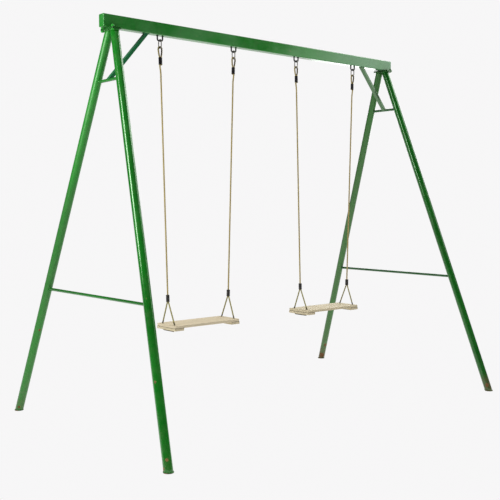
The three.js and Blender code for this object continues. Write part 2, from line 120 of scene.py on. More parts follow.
def loft(rows, wrap=False, caps=(True, True)):
    """A shell through rings of equal length. With wrap the last ring joins the first; otherwise each end gets a fan."""
    r = np.asarray(rows, float)
    m, n, _ = r.shape
    v = r.reshape(-1, 3)
    q = grid_quads(m, n, wrap)
    faces = q
    extra = []
    if not wrap:
        for end, row in ((0, 0), (1, m - 1)):
            if caps[end]:
                v = np.vstack([v, r[row].mean(0)])
                c = len(v) - 1
                for j in range(n):
                    a, b = row * n + j, row * n + (j + 1) % n
                    extra.append((b, a, c) if end == 0 else (a, b, c))
    faces = [tuple(x) for x in q.tolist()] + extra
    centre = v.mean(0)
    if volume_of_quads(v - centre, q) < 0:
        faces = [tuple(reversed(f)) for f in faces]
    return v, faces


def join(shells):
    verts, faces, base = [], [], 0
    for v, f in shells:
        verts.append(np.asarray(v, float))
        faces += [tuple(int(i) + base for i in x) for x in f]
        base += len(v)
    return np.vstack(verts), faces


def build(name, shells, material, body, nodes=(), sharp=35.0, weighted=False, uv=None):
    """One piece of the visual model, from shells in millimetres."""
    v, f = join(shells)
    me = bpy.data.meshes.new(name)
    me.from_pydata((v * MM).tolist(), [], f)
    if uv is not None:
        layer = me.uv_layers.new(name="lay")
        layer.data.foreach_set("uv", np.asarray(uv, np.float32).ravel())
    me.polygons.foreach_set("use_smooth", np.ones(len(me.polygons), bool))
    me.set_sharp_from_angle(angle=math.radians(sharp))
    me.materials.append(material)
    me.update()
    ob = bpy.data.objects.new(name, me)
    scene.collection.objects.link(ob)
    if weighted:
        w = ob.modifiers.new("even_normals", "WEIGHTED_NORMAL")
        w.keep_sharp = True
        w.weight = 100
    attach(ob, body)
    if nodes:
        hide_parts(*nodes)
    return ob


def unit(a):
    a = np.asarray(a, float)
    return a / max(np.linalg.norm(a), 1e-12)


def basis(direction, hint=(0.0, 0.0, 1.0)):
    t = unit(direction)
    h = np.asarray(hint, float)
    if abs(np.dot(t, h)) > 0.98:
        h = np.array((1.0, 0.0, 0.0))
    u = unit(h - t * np.dot(h, t))
    return t, u, np.cross(t, u)


def frames(points, closed=False, hint=(0.0, 1.0, 0.0)):
    """Tangents and two normals along a line, turning as little as they can."""
    p = np.asarray(points, float)
    if closed:
        t = np.roll(p, -1, 0) - np.roll(p, 1, 0)
    else:
        t = np.gradient(p, axis=0)
    t /= np.linalg.norm(t, axis=1)[:, None]
    n = np.zeros_like(t)
    h = np.asarray(hint, float)
    if abs(np.dot(h, t[0])) > 0.95:
        h = np.array((1.0, 0.0, 0.0))
    n[0] = unit(h - t[0] * np.dot(h, t[0]))
    for i in range(1, len(p)):
        n[i] = unit(n[i - 1] - t[i] * np.dot(n[i - 1], t[i]))
    if closed:  # share the leftover turn along the loop
        last = unit(n[-1] - t[0] * np.dot(n[-1], t[0]))
        b0 = np.cross(t[0], n[0])
        angle = math.atan2(np.dot(last, b0), np.dot(last, n[0]))
        for i in range(len(p)):
            a = -angle * i / len(p)
            b = np.cross(t[i], n[i])
            n[i] = n[i] * math.cos(a) + b * math.sin(a)
    return t, n, np.cross(t, n)


def sweep(points, radius, sides=20, closed=False, hint=(0.0, 1.0, 0.0), caps=(True, True), flat=1.0):
    p = np.asarray(points, float)
    t, n, b = frames(p, closed, hint)
    r = np.broadcast_to(np.asarray(radius, float), (len(p),))
    a = np.linspace(0, 2 * math.pi, sides, endpoint=False)
    ring = np.cos(a)[None, :, None] * n[:, None, :] + np.sin(a)[None, :, None] * b[:, None, :] * flat
    rows = p[:, None, :] + ring * r[:, None, None]
    return loft(rows, wrap=closed, caps=caps)


def spaced(points, step):
    p = np.asarray(points, float)
    s = np.concatenate([[0], np.cumsum(np.linalg.norm(np.diff(p, axis=0), axis=1))])
    count = max(2, int(math.ceil(s[-1] / step)) + 1)
    at = np.linspace(0, s[-1], count)
    return np.stack([np.interp(at, s, p[:, k]) for k in range(3)], axis=1)


def smoothed(points, step, reach):
    """A line resampled and rounded at its corners; its two ends stay."""
    p = spaced(points, step)
    k = max(1, int(round(reach / step)))
    w = np.exp(-0.5 * (np.arange(-3 * k, 3 * k + 1) / k) ** 2)
    w /= w.sum()
    head = 2 * p[0] - p[1 : 3 * k + 1][::-1]
    tail = 2 * p[-1] - p[-3 * k - 1 : -1][::-1]
    q = np.vstack([head, p, tail])
    out = np.stack([np.convolve(q[:, i], w, mode="valid") for i in range(3)], axis=1)
    out[0], out[-1] = p[0], p[-1]
    return spaced(out, step)


def arc(cx, cz, r, a0, a1, count, y=0.0):
    a = np.radians(np.linspace(a0, a1, count + 1))
    return [(cx + r * math.cos(x), y, cz + r * math.sin(x)) for x in a]


def leg_point(s, t, z):
    k = 1 - z / LEG_TOP_Z
    return np.array((
        s * (LEG_TOP[0] + (LEG_FOOT[0] - LEG_TOP[0]) * k),
        t * (LEG_TOP[1] + (LEG_FOOT[1] - LEG_TOP[1]) * k),
        z,
    ))


# =============================================================== materials
class Nodes:
    """A little shorthand for building a material's nodes."""

    def __init__(self, name):
        self.mat = bpy.data.materials.new(name)
        self.mat.use_nodes = True
        self.tree = self.mat.node_tree
        self.tree.nodes.clear()
        self.out = self.add("ShaderNodeOutputMaterial")
        self.shader = self.add("ShaderNodeBsdfPrincipled")
        self.link(self.shader.outputs["BSDF"], self.out.inputs["Surface"])

    def add(self, kind, **settings):
        node = self.tree.nodes.new(kind)
        for k, v in settings.items():
            setattr(node, k, v)
        return node

    def link(self, a, b):
        self.tree.links.new(a, b)

    def put(self, socket, value):
        if isinstance(value, bpy.types.NodeSocket):
            self.link(value, socket)
        else:
            socket.default_value = value

    def coords(self):
        return self.add("ShaderNodeTexCoord").outputs["Object"]

    def mapping(self, vector, scale=(1, 1, 1), location=(0, 0, 0), rotation=(0, 0, 0)):
        m = self.add("ShaderNodeMapping")
        self.link(vector, m.inputs["Vector"])
        m.inputs["Scale"].default_value = scale
        m.inputs["Location"].default_value = location
        m.inputs["Rotation"].default_value = rotation
        return m.outputs["Vector"]

    def noise(self, vector, scale, detail=3.0, rough=0.55, distort=0.0, colour=False):
        n = self.add("ShaderNodeTexNoise")
        self.link(vector, n.inputs["Vector"])
        n.inputs["Scale"].default_value = scale
        n.inputs["Detail"].default_value = detail
        n.inputs["Roughness"].default_value = rough
        n.inputs["Distortion"].default_value = distort
        return n.outputs["Color" if colour else "Fac"]

    def math(self, op, a, b=0.0, c=0.0, clamp=False):
        n = self.add("ShaderNodeMath", operation=op, use_clamp=clamp)
        self.put(n.inputs[0], a)
        self.put(n.inputs[1], b)
        self.put(n.inputs[2], c)
        return n.outputs[0]

    def vmath(self, op, a, b=(0, 0, 0)):
        n = self.add("ShaderNodeVectorMath", operation=op)
        self.put(n.inputs[0], a)
        self.put(n.inputs[1], b)
        return n.outputs["Value"] if op in ("DISTANCE", "LENGTH", "DOT_PRODUCT") else n.outputs["Vector"]

    def range(self, value, a, b, c=0.0, d=1.0, smooth=True):
        n = self.add("ShaderNodeMapRange", interpolation_type="SMOOTHSTEP" if smooth else "LINEAR")
        n.clamp = True
        self.put(n.inputs["Value"], value)
        n.inputs["From Min"].default_value = a
        n.inputs["From Max"].default_value = b
        n.inputs["To Min"].default_value = c
        n.inputs["To Max"].default_value = d
        return n.outputs["Result"]

    def mix(self, fac, a, b):
        n = self.add("ShaderNodeMix", data_type="RGBA")
        self.put(n.inputs[0], fac)
        self.put(n.inputs[6], a if isinstance(a, bpy.types.NodeSocket) else (*a, 1.0))
        self.put(n.inputs[7], b if isinstance(b, bpy.types.NodeSocket) else (*b, 1.0))
        return n.outputs[2]

    def split(self, vector):
        n = self.add("ShaderNodeSeparateXYZ")
        self.link(vector, n.inputs[0])
        return n.outputs

    def combine(self, x, y, z):
        n = self.add("ShaderNodeCombineXYZ")
        for s, v in zip(n.inputs, (x, y, z)):
            self.put(s, v)
        return n.outputs[0]

    def bump(self, height, strength, distance, normal=None):
        n = self.add("ShaderNodeBump")
        n.inputs["Strength"].default_value = strength
        n.inputs["Distance"].default_value = distance
        self.link(height, n.inputs["Height"])
        if normal is not None:
            self.link(normal, n.inputs["Normal"])
        return n.outputs["Normal"]

    def set(self, **values):
        for k, v in values.items():
            socket = self.shader.inputs[k.replace("_", " ")]
            if isinstance(v, tuple) and len(v) == 3 and socket.type == "RGBA":
                v = (*v, 1.0)
            self.put(socket, v)
        return self.mat


PAINT = (0.0045, 0.155, 0.0085)
PAINT_DARK = (0.0030, 0.112, 0.0060)
PAINT_WORN = (0.030, 0.190, 0.036)
RUST = (0.210, 0.075, 0.022)
RUST_DARK = (0.055, 0.022, 0.010)


def green_paint(name, chips=(), grime=0.0, chip_rate=1.0, tone=1.0, faded=(0.0, 0.0), hue=(0.060, 0.130, 0.045),
                dusty=0.45, grime_top=0.125, patches=0.0, matt=0.0, rust=RUST):
    """Glossy green enamel on steel: faded and dusty in places, chipped down to rust.
    chips are (point in metres, radius) of larger chips; grime is how dirty the foot end is, up to grime_top;
    tone scales the green; faded is how much of the dull hue shows at the top and at the ground; patches is how
    strong the large pale patches are, and also makes the paint paler towards the right end, partly dust and partly
    a painted reflection; matt is added roughness;
    rust is the colour of the larger chips."""
    m = Nodes(name)
    co = m.coords()
    x, y, z = m.split(co)
    wide = m.noise(co, 1.7, 2.0, 0.5)
    cloud = m.noise(co, 9.0, 4.0, 0.6)
    fine = m.noise(co, 70.0, 3.0, 0.6)
    paint, deep, worn = (tuple(tone * k for k in c) for c in (PAINT, PAINT_DARK, PAINT_WORN))
    base = m.mix(m.range(wide, 0.32, 0.68), paint, deep)
    base = m.mix(m.math("MULTIPLY", m.range(cloud, 0.52, 0.78), 0.35), base, worn)
    if patches:
        big = m.noise(m.vmath("ADD", co, (0.37, 0.0, 0.0)), 2.1, 2.0, 0.45)
        base = m.mix(m.math("MULTIPLY", m.range(big, 0.47, 0.60), patches), base, (0.045, 0.175, 0.050))
        # paler towards the right end: partly dust, partly a painted reflection of the light there
        base = m.mix(m.math("MULTIPLY", m.range(x, 0.1, 1.1), m.range(cloud, 0.25, 0.6, 0.45, 0.75)), base, (0.100, 0.190, 0.120))
    if faded[0] or faded[1]:
        fade = m.math("ADD", m.range(z, 2.2, 0.0, faded[0], faded[1], smooth=False), m.math("MULTIPLY", m.math("SUBTRACT", cloud, 0.5), 0.6), clamp=True)
        base = m.mix(fade, base, hue)
    # thin dust, thicker near the ground
    low = m.range(z, 0.30, 0.0)
    dust = m.math("MULTIPLY", m.range(m.noise(co, 22.0, 4.0, 0.65), 0.42, 0.75), m.math("ADD", m.math("MULTIPLY", low, dusty), 0.08))
    base = m.mix(dust, base, (0.155, 0.150, 0.105))
    # small chips, mostly near the ground
    cell = m.noise(m.vmath("ADD", co, m.vmath("MULTIPLY", m.noise(co, 160.0, 2.0, 0.5, colour=True), (0.004, 0.004, 0.004))), 95.0, 3.0, 0.6, 0.4)
    where = m.noise(co, 5.5, 2.0, 0.5)
    level = m.math("ADD", m.math("MULTIPLY", where, 0.22), m.math("MULTIPLY", low, 0.045 * chip_rate))
    small = m.range(m.math("ADD", cell, m.math("SUBTRACT", level, 0.11)), 0.735, 0.765)
    mask = small
    for point, radius in chips:
        d = m.vmath("DISTANCE", co, tuple(point))
        ragged = m.math("ADD", d, m.math("MULTIPLY", m.math("SUBTRACT", m.noise(co, 130.0, 3.0, 0.65), 0.5), radius * 1.3))
        mask = m.math("MAXIMUM", mask, m.range(ragged, radius * 1.02, radius * 0.80))
    if grime:
        g = m.math("MULTIPLY", m.range(m.math("ADD", z, m.math("MULTIPLY", m.math("SUBTRACT", m.noise(co, 16.0, 3.0, 0.6), 0.5), 0.10)), grime_top, grime_top * 0.28), grime)
        base = m.mix(g, base, m.mix(m.range(fine, 0.40, 0.62), (0.062, 0.066, 0.032), (0.100, 0.060, 0.028)))
    scale = m.mix(m.range(m.noise(co, 240.0, 3.0, 0.7), 0.38, 0.64), RUST_DARK, rust)
    colour = m.mix(mask, base, scale)
    rough = m.math("ADD", m.range(cloud, 0.3, 0.75, 0.13 + matt, 0.24 + matt), m.math("MULTIPLY", dust, 0.5))
    rough = m.math("ADD", rough, m.math("MULTIPLY", mask, 0.55), clamp=True)
    peel = m.bump(m.noise(co, 310.0, 2.0, 0.5), 0.10, 0.00025)
    wave = m.bump(m.noise(co, 11.0, 2.0, 0.5), 0.10, 0.0016, peel)
    edge = m.bump(m.math("SUBTRACT", 1.0, mask), 0.6, 0.0004, wave)
    return m.set(Base_Color=colour, Roughness=rough, Normal=edge, IOR=1.52, Specular_Tint=(0.62, 1.0, 0.60), Coat_Weight=0.10 if matt < 0.1 else 0.0, Coat_Roughness=0.08)


def painted_bolts(name, colour, wear_and_sheen):
    m = Nodes(name)
    co = m.coords()
    worn = m.range(m.noise(co, 170.0, 3.0, 0.6), 0.52, 0.66)
    # pale worn spots, plus a paleness all over that is partly wear and partly a painted highlight
    colour = m.mix(m.math("MULTIPLY_ADD", worn, 0.35, wear_and_sheen), colour, (0.120, 0.140, 0.085))
    rough = m.range(m.noise(co, 90.0, 3.0, 0.6), 0.3, 0.7, 0.18, 0.34)
    n = m.bump(m.noise(co, 420.0, 2.0, 0.5), 0.12, 0.0003)
    return m.set(Base_Color=colour, Roughness=rough, Normal=n, IOR=1.5, Coat_Weight=0.25, Coat_Roughness=0.1)


def black_steel(name):
    m = Nodes(name)
    co = m.coords()
    worn = m.range(m.noise(co, 120.0, 4.0, 0.65), 0.60, 0.76)
    colour = m.mix(worn, m.mix(m.noise(co, 40.0), (0.0035, 0.0035, 0.0045), (0.010, 0.010, 0.011)), (0.060, 0.040, 0.030))
    rough = m.range(m.noise(co, 60.0, 3.0, 0.6), 0.3, 0.7, 0.34, 0.54)
    n = m.bump(m.noise(co, 520.0, 3.0, 0.6), 0.25, 0.0003)
    return m.set(Base_Color=colour, Roughness=rough, Normal=n, IOR=1.5, Specular_IOR_Level=0.32)


def zinc(name):
    m = Nodes(name)
    co = m.coords()
    spangle = m.add("ShaderNodeTexVoronoi")
    m.link(co, spangle.inputs["Vector"])
    spangle.inputs["Scale"].default_value = 260.0
    patch = m.noise(co, 85.0, 3.0, 0.6)
    colour = m.mix(spangle.outputs["Distance"], (0.135, 0.125, 0.112), (0.235, 0.220, 0.200))
    colour = m.mix(m.range(patch, 0.56, 0.74), colour, (0.110, 0.088, 0.062))
    rough = m.range(patch, 0.3, 0.75, 0.28, 0.50)
    n = m.bump(m.noise(co, 360.0, 3.0, 0.6), 0.2, 0.0003)
    return m.set(Base_Color=colour, Roughness=rough, Normal=n, Metallic=0.92)


def rope_fibre(name, light, dark, lay_mm, d_mm, dark_below=None):
    """Laid rope: the strands are in the mesh; the yarns and fibres are here. Its point attribute marks painted shade,
    near black, on the faces that look into the eye; below the height dark_below the rope gets painted shade too, where
    it runs under the seat."""
    m = Nodes(name)
    co = m.coords()
    uv = m.add("ShaderNodeUVMap", uv_map="lay").outputs["UV"]
    u, v, _ = m.split(uv)
    # yarns turn the other way to the strands, so they run along the rope
    phase = m.math("ADD", m.math("MULTIPLY", u, 7.0), m.math("MULTIPLY", v, 7000.0 / (lay_mm * 0.5)))
    yarn = m.math("SINE", m.math("MULTIPLY", phase, 2 * math.pi))
    yarn = m.math("MULTIPLY_ADD", yarn, 0.5, 0.5)
    fibre = m.noise(m.combine(m.math("MULTIPLY", phase, 3.0), m.math("MULTIPLY", v, 60.0), 0.0), 2.2, 3.0, 0.65)
    tone = m.noise(co, 13.0, 3.0, 0.6)
    spots = m.noise(co, 210.0, 3.0, 0.6)
    c = m.mix(m.range(yarn, 0.0, 0.75), dark, light)
    c = m.mix(m.math("MULTIPLY", m.range(tone, 0.35, 0.70), 0.45), c, tuple(0.82 * k for k in light))
    c = m.mix(m.math("MULTIPLY", m.range(fibre, 0.50, 0.72), 0.40), c, tuple(min(1.0, 1.18 * k) for k in light))
    c = m.mix(m.math("MULTIPLY", m.range(spots, 0.62, 0.74), 0.35), c, tuple(0.55 * k for k in dark))
    # painted shade, near black: inside the eye from the point attribute, and under the seat below dark_below
    black = m.add("ShaderNodeAttribute", attribute_name="eye_shade").outputs["Fac"]
    if dark_below is not None:
        height = m.math("ADD", m.split(co)[2], m.math("MULTIPLY", m.math("SUBTRACT", m.noise(co, 90.0, 3.0, 0.6), 0.5), 0.012))
        black = m.math("MAXIMUM", black, m.range(height, dark_below + 0.006, dark_below - 0.006, 0.0, 0.93))
    c = m.mix(m.math("MULTIPLY", black, m.range(fibre, 0.2, 0.7, 1.0, 0.84)), c, (0.012, 0.008, 0.005))
    n = m.bump(yarn, 0.55, 0.0005)
    n = m.bump(fibre, 0.35, 0.0003, n)
    rough = m.range(fibre, 0.3, 0.7, 0.80, 0.95)
    return m.set(Base_Color=c, Roughness=rough, Normal=n, IOR=1.45, Specular_IOR_Level=0.3)


def black_plastic(name, dirt):
    """Moulded black plastic; dirt is how much pale dust lies on it."""
    m = Nodes(name)
    co = m.coords()
    dusty = m.range(m.noise(co, 75.0, 4.0, 0.65), 0.42, 0.72)
    colour = m.mix(m.math("MULTIPLY_ADD", dusty, dirt, dirt * 0.25), (0.0045, 0.0038, 0.0050), (0.085, 0.078, 0.070))
    rough = m.range(dusty, 0.0, 1.0, 0.40, 0.62)
    n = m.bump(m.noise(co, 600.0, 2.0, 0.5), 0.25, 0.0002)
    return m.set(Base_Color=colour, Roughness=rough, Normal=n, IOR=1.5, Specular_IOR_Level=0.16)


def pine(name, pith, tint=1.0, along="X", pinkish=0.0, joint_shade=None):
    """Planed pine, grain along X or Y, the growth rings round a pith line outside the plank. The last argument is
    (height, middle x, offset in x, half width in x) of a thin line of painted shade along the joint between board and
    batten."""
    m = Nodes(name)
    co = m.coords()
    x, y, z = m.split(co)
    long, across = (x, y) if along == "X" else (y, x)
    # the rings wander slowly along the board
    drift = m.noise(m.combine(m.math("MULTIPLY", long, 1.6), m.math("MULTIPLY", across, 5.0), m.math("MULTIPLY", z, 5.0)), 1.0, 2.0, 0.5)
    bend = m.math("MULTIPLY", m.math("SUBTRACT", drift, 0.5), 0.050)
    dy = m.math("SUBTRACT", m.math("ADD", across, bend), pith[0])
    dz = m.math("SUBTRACT", m.math("ADD", z, m.math("MULTIPLY", bend, 0.6)), pith[1])
    r = m.math("SQRT", m.math("ADD", m.math("MULTIPLY", dy, dy), m.math("MULTIPLY", dz, dz)))
    rings = m.math("FRACT", m.math("ADD", m.math("MULTIPLY", r, 235.0), m.math("MULTIPLY", m.noise(co, 3.0), 1.2)))
    late = m.math("MULTIPLY", m.range(rings, 0.45, 0.93), m.range(rings, 1.0, 0.95))
    stretch = m.combine(m.math("MULTIPLY", long, 9.0), m.math("MULTIPLY", across, 420.0), m.math("MULTIPLY", z, 420.0))
    fibre = m.noise(stretch, 1.0, 4.0, 0.7)
    cloud = m.noise(co, 7.0, 3.0, 0.6)
    light = tuple(tint * k for k in (0.505, 0.440, 0.295))
    dark = tuple(tint * k for k in (0.400, 0.308, 0.175))
    pale = tuple(tint * k for k in (0.555, 0.495, 0.360))
    c = m.mix(m.math("MULTIPLY", late, 0.55), light, dark)
    c = m.mix(m.math("MULTIPLY", m.range(fibre, 0.48, 0.72), 0.35), c, pale)
    c = m.mix(m.math("MULTIPLY", m.range(cloud, 0.50, 0.80), 0.35), c, tuple(tint * k for k in (0.440, 0.378, 0.258)))
    if pinkish:
        c = m.mix(pinkish, c, (0.56, 0.440, 0.400))
    pore = m.range(m.noise(m.combine(m.math("MULTIPLY", long, 40.0), m.math("MULTIPLY", across, 900.0), m.math("MULTIPLY", z, 900.0)), 1.0, 2.0, 0.6), 0.66, 0.74)
    c = m.mix(m.math("MULTIPLY", pore, 0.30), c, dark)
    # painted shade: a thin dark line where board and batten meet
    if joint_shade:
        high, mid_x, off, half_w = joint_shade
        near = m.math("ABSOLUTE", m.math("SUBTRACT", z, high))
        side = m.math("ABSOLUTE", m.math("SUBTRACT", m.math("ABSOLUTE", m.math("SUBTRACT", x, mid_x)), off))
        line = m.math("MULTIPLY", m.range(near, 0.0020, 0.0009), m.range(side, half_w + 0.0015, half_w))
        c = m.mix(m.math("MULTIPLY", line, m.range(cloud, 0.3, 0.6, 0.60, 0.88)), c, (0.060, 0.042, 0.026))
    n = m.bump(late, 0.25, 0.0006)
    n = m.bump(fibre, 0.30, 0.0003, n)
    rough = m.range(late, 0.0, 1.0, 0.62, 0.50)
    return m.set(Base_Color=c, Roughness=rough, Normal=n, IOR=1.45, Specular_IOR_Level=0.35)


# ===================================================== cords: ropes and loops
LAY_ROPE, LAY_LOOP = 32.0, 29.0
rope_mat = rope_fibre("rope_main", (0.42, 0.335, 0.135), (0.20, 0.152, 0.060), LAY_ROPE, ROPE_D)
# the loop gets painted shade, near black, where it runs under the seat
loop_mat = rope_fibre("rope_loop", (0.35, 0.315, 0.120), (0.16, 0.147, 0.050), LAY_LOOP, LOOP_D, dark_below=0.585)


def laid_rope(name, line, d, lay, material, body, node, sides=12, turn=0.0, ends=(True, True), inside=None):
    """Three strands twisted together along a line, in millimetres. inside is a point's x and the heights of an eye's
    middle line: surfaces that face it get painted shade, near black, through a point attribute."""
    p = np.asarray(line, float)
    s = np.concatenate([[0], np.cumsum(np.linalg.norm(np.diff(p, axis=0), axis=1))])
    t, n, b = frames(p)
    rs = 0.238 * d
    out = d / 2 - rs
    close = np.ones(len(p))
    for end, at in ((0, s), (1, s[-1] - s)):
        if ends[end]:  # a cut end is a little rounded
            k = np.clip(at / 2.0, 0, 1)
            close = np.minimum(close, 0.55 + 0.45 * np.sqrt(np.clip(1 - (1 - k) ** 2, 0, 1)))
    shells, uvs = [], []
    theta = np.linspace(0, 2 * math.pi, sides, endpoint=False)
    for k in range(3):
        phi = 2 * math.pi * (k / 3 + s / lay) + turn
        u = np.cos(phi)[:, None] * n + np.sin(phi)[:, None] * b
        c = p + u * (out * close)[:, None]
        tc = np.gradient(c, axis=0)
        tc /= np.linalg.norm(tc, axis=1)[:, None]
        un = u - tc * (u * tc).sum(1)[:, None]
        un /= np.linalg.norm(un, axis=1)[:, None]
        vn = np.cross(tc, un)
        ring = np.cos(theta)[None, :, None] * un[:, None, :] + np.sin(theta)[None, :, None] * vn[:, None, :]
        rows = c[:, None, :] + ring * (rs * close)[:, None, None]
        m = len(p)
        v, f = loft(rows)
        flipped = f[0][0] != 0
        # the corner UVs: u round the strand, v along the rope in metres
        i, j = np.meshgrid(np.arange(m - 1), np.arange(sides), indexing="ij")
        u0, u1 = j / sides, (j + 1) / sides
        v0, v1 = s[i] * MM, s[i + 1] * MM
        quad = np.stack([np.stack([u0, v0], -1), np.stack([u1, v0], -1), np.stack([u1, v1], -1), np.stack([u0, v1], -1)], axis=2).reshape(-1, 4, 2)
        if flipped:
            quad = quad[:, ::-1]
        caps = np.zeros((2 * sides * 3, 2))
        caps[: sides * 3, 1], caps[sides * 3 :, 1] = 0.0, s[-1] * MM
        uvs.append(np.vstack([quad.reshape(-1, 2), caps]))
        shells.append((v, f))
    ob = build(name, shells, material, body, (node,), sharp=70, uv=np.vstack(uvs))
    # painted shade: strand faces that look into the eye are darkened towards black
    worn = []
    for v, f in shells:
        if inside is None:
            worn.append(np.zeros(len(v)))
            continue
        mid_x, z0, z1 = inside
        index = np.concatenate([np.repeat(np.arange(len(p)), sides), [0, len(p) - 1]])
        core = p[index]
        toward = np.stack([np.full(len(v), mid_x), np.zeros(len(v)), np.clip(core[:, 2], z0, z1)], axis=1) - core
        toward /= np.maximum(np.linalg.norm(toward, axis=1), 1e-6)[:, None]
        outward = (v - core) / np.maximum(np.linalg.norm(v - core, axis=1), 1e-6)[:, None]
        k = np.clip(((outward * toward).sum(1) + 0.25) / 0.35, 0, 1)
        k *= np.clip((core[:, 2] - (z0 - 8)) / 8, 0, 1)
        worn.append(k)
    eye_shade = ob.data.attributes.new("eye_shade", "FLOAT", "POINT")
    eye_shade.data.foreach_set("value", np.concatenate(worn).astype(np.float32))
    return ob, p


def rope_route(cx, r):
    """The main rope, as in the frame: its tail, round the eye, and down to the seat's sleeve."""
    def sx(z):
        return cx + r * half_at(z)
    hx = cx + r * HANGER_HALF
    tail = -r * STRAND
    g = 1 if tail > 0 else -1
    cz = EYE_TOP - EYE_RADIUS
    pts = [(sx(2069) + tail, 0, 2069), (sx(2114) + tail, 0, 2114), (sx(2122) + 1.25 * tail, 0, 2122),
           (sx(2134) + 1.85 * tail, 0, 2134), (hx + g * EYE_RADIUS, 0, cz - 8)]
    pts += arc(hx, cz, EYE_RADIUS, 0 if g > 0 else 180, 180 if g > 0 else 0, 24)
    pts += [(hx - g * EYE_RADIUS, 0, cz - 8), (sx(2134) - 1.85 * tail, 0, 2134), (sx(2122) - 1.25 * tail, 0, 2122),
            (sx(2114) - tail, 0, 2114), (sx(2071) - tail, 0, 2071), (sx(2057) - 0.72 * tail, 0, 2057),
            (sx(2041) - 0.3 * tail, 0, 2041), (sx(2024), 0, 2024), (sx(733), 0, 733)]
    return smoothed(pts, 1.0, 3.0)


def loop_route(cx, r):
    """The seat's loop: out of the sleeve, down one hole, under the batten and up the other hole."""
    def x(z):
        return cx + r * half_at(z)
    under, start, leave, corner, bend = 531.9, 724.5, 700.0, 564.0, 20.0
    splay = math.atan2(HOLE_Y - STRAND, leave - corner)
    turn = bend * math.tan(splay / 2)

    def half(t):
        pts = [(x(z), t * y, z) for z, y in ((start, STRAND), (704.0, STRAND), (697.0, STRAND + 0.9))]
        pts.append((x(689), t * (STRAND + (HOLE_Y - STRAND) * (leave - 689) / (leave - corner)), 689))
        for k in range(9):
            a = splay * (1 - k / 8)
            z = corner - turn + bend * math.sin(a)
            pts.append((x(z), t * (HOLE_Y - bend + bend * math.cos(a)), z))
        for k in range(13):
            a = math.pi / 2 * k / 12
            z = under + ROPE_BEND - ROPE_BEND * math.sin(a)
            pts.append((x(z), t * (HOLE_Y - ROPE_BEND + ROPE_BEND * math.cos(a)), z))
        return pts
    return smoothed(half(-1) + half(1)[::-1], 1.0, 2.0)


for swing, sx_ in ENDS:
    cx = sx_ * SWING_X
    for letter, r in ROPES:
        ident = f"{swing}_{letter}"
        route = rope_route(cx, r)
        line = spaced(route, 1.9)
        ob, p = laid_rope(f"laid_rope_{ident}", line, ROPE_D, LAY_ROPE, rope_mat, f"{swing}_ropes", f"rope_{ident}", sides=12, turn=0.7 * (r + 2 * sx_),
                          inside=(cx + r * HANGER_HALF, 2126.0, EYE_TOP - EYE_RADIUS))
        route = loop_route(cx, r)
        line = spaced(route, 1.8)
        ob, p = laid_rope(f"laid_loop_{ident}", line, LOOP_D, LAY_LOOP, loop_mat, f"{swing}_seat", f"seat_loop_{ident}", sides=12, turn=0.4 * (r + sx_))

# ============================================================ slabs and plates
def rounded_outline(w, h, r, per_corner=6):
    pts = []
    for qx, qy, a0 in ((1, 1, 0), (-1, 1, 90), (-1, -1, 180), (1, -1, 270)):
        for k in range(per_corner + 1):
            a = math.radians(a0 + 90 * k / per_corner)
            pts.append((qx * (w / 2 - r) + r * math.cos(a), qy * (h / 2 - r) + r * math.sin(a)))
    return np.array(pts)


def even_outline(outline, count):
    """The same outline with its points spread evenly round it."""
    o = np.vstack([outline, outline[:1]])
    s = np.concatenate([[0], np.cumsum(np.linalg.norm(np.diff(o, axis=0), axis=1))])
    at = np.linspace(0, s[-1], count, endpoint=False)
    return np.stack([np.interp(at, s, o[:, 0]), np.interp(at, s, o[:, 1])], axis=1)


def circle_outline(x, y, r, count=28):
    a = np.linspace(0, 2 * math.pi, count, endpoint=False)
    return np.stack([x + r * np.cos(a), y + r * np.sin(a)], axis=1)


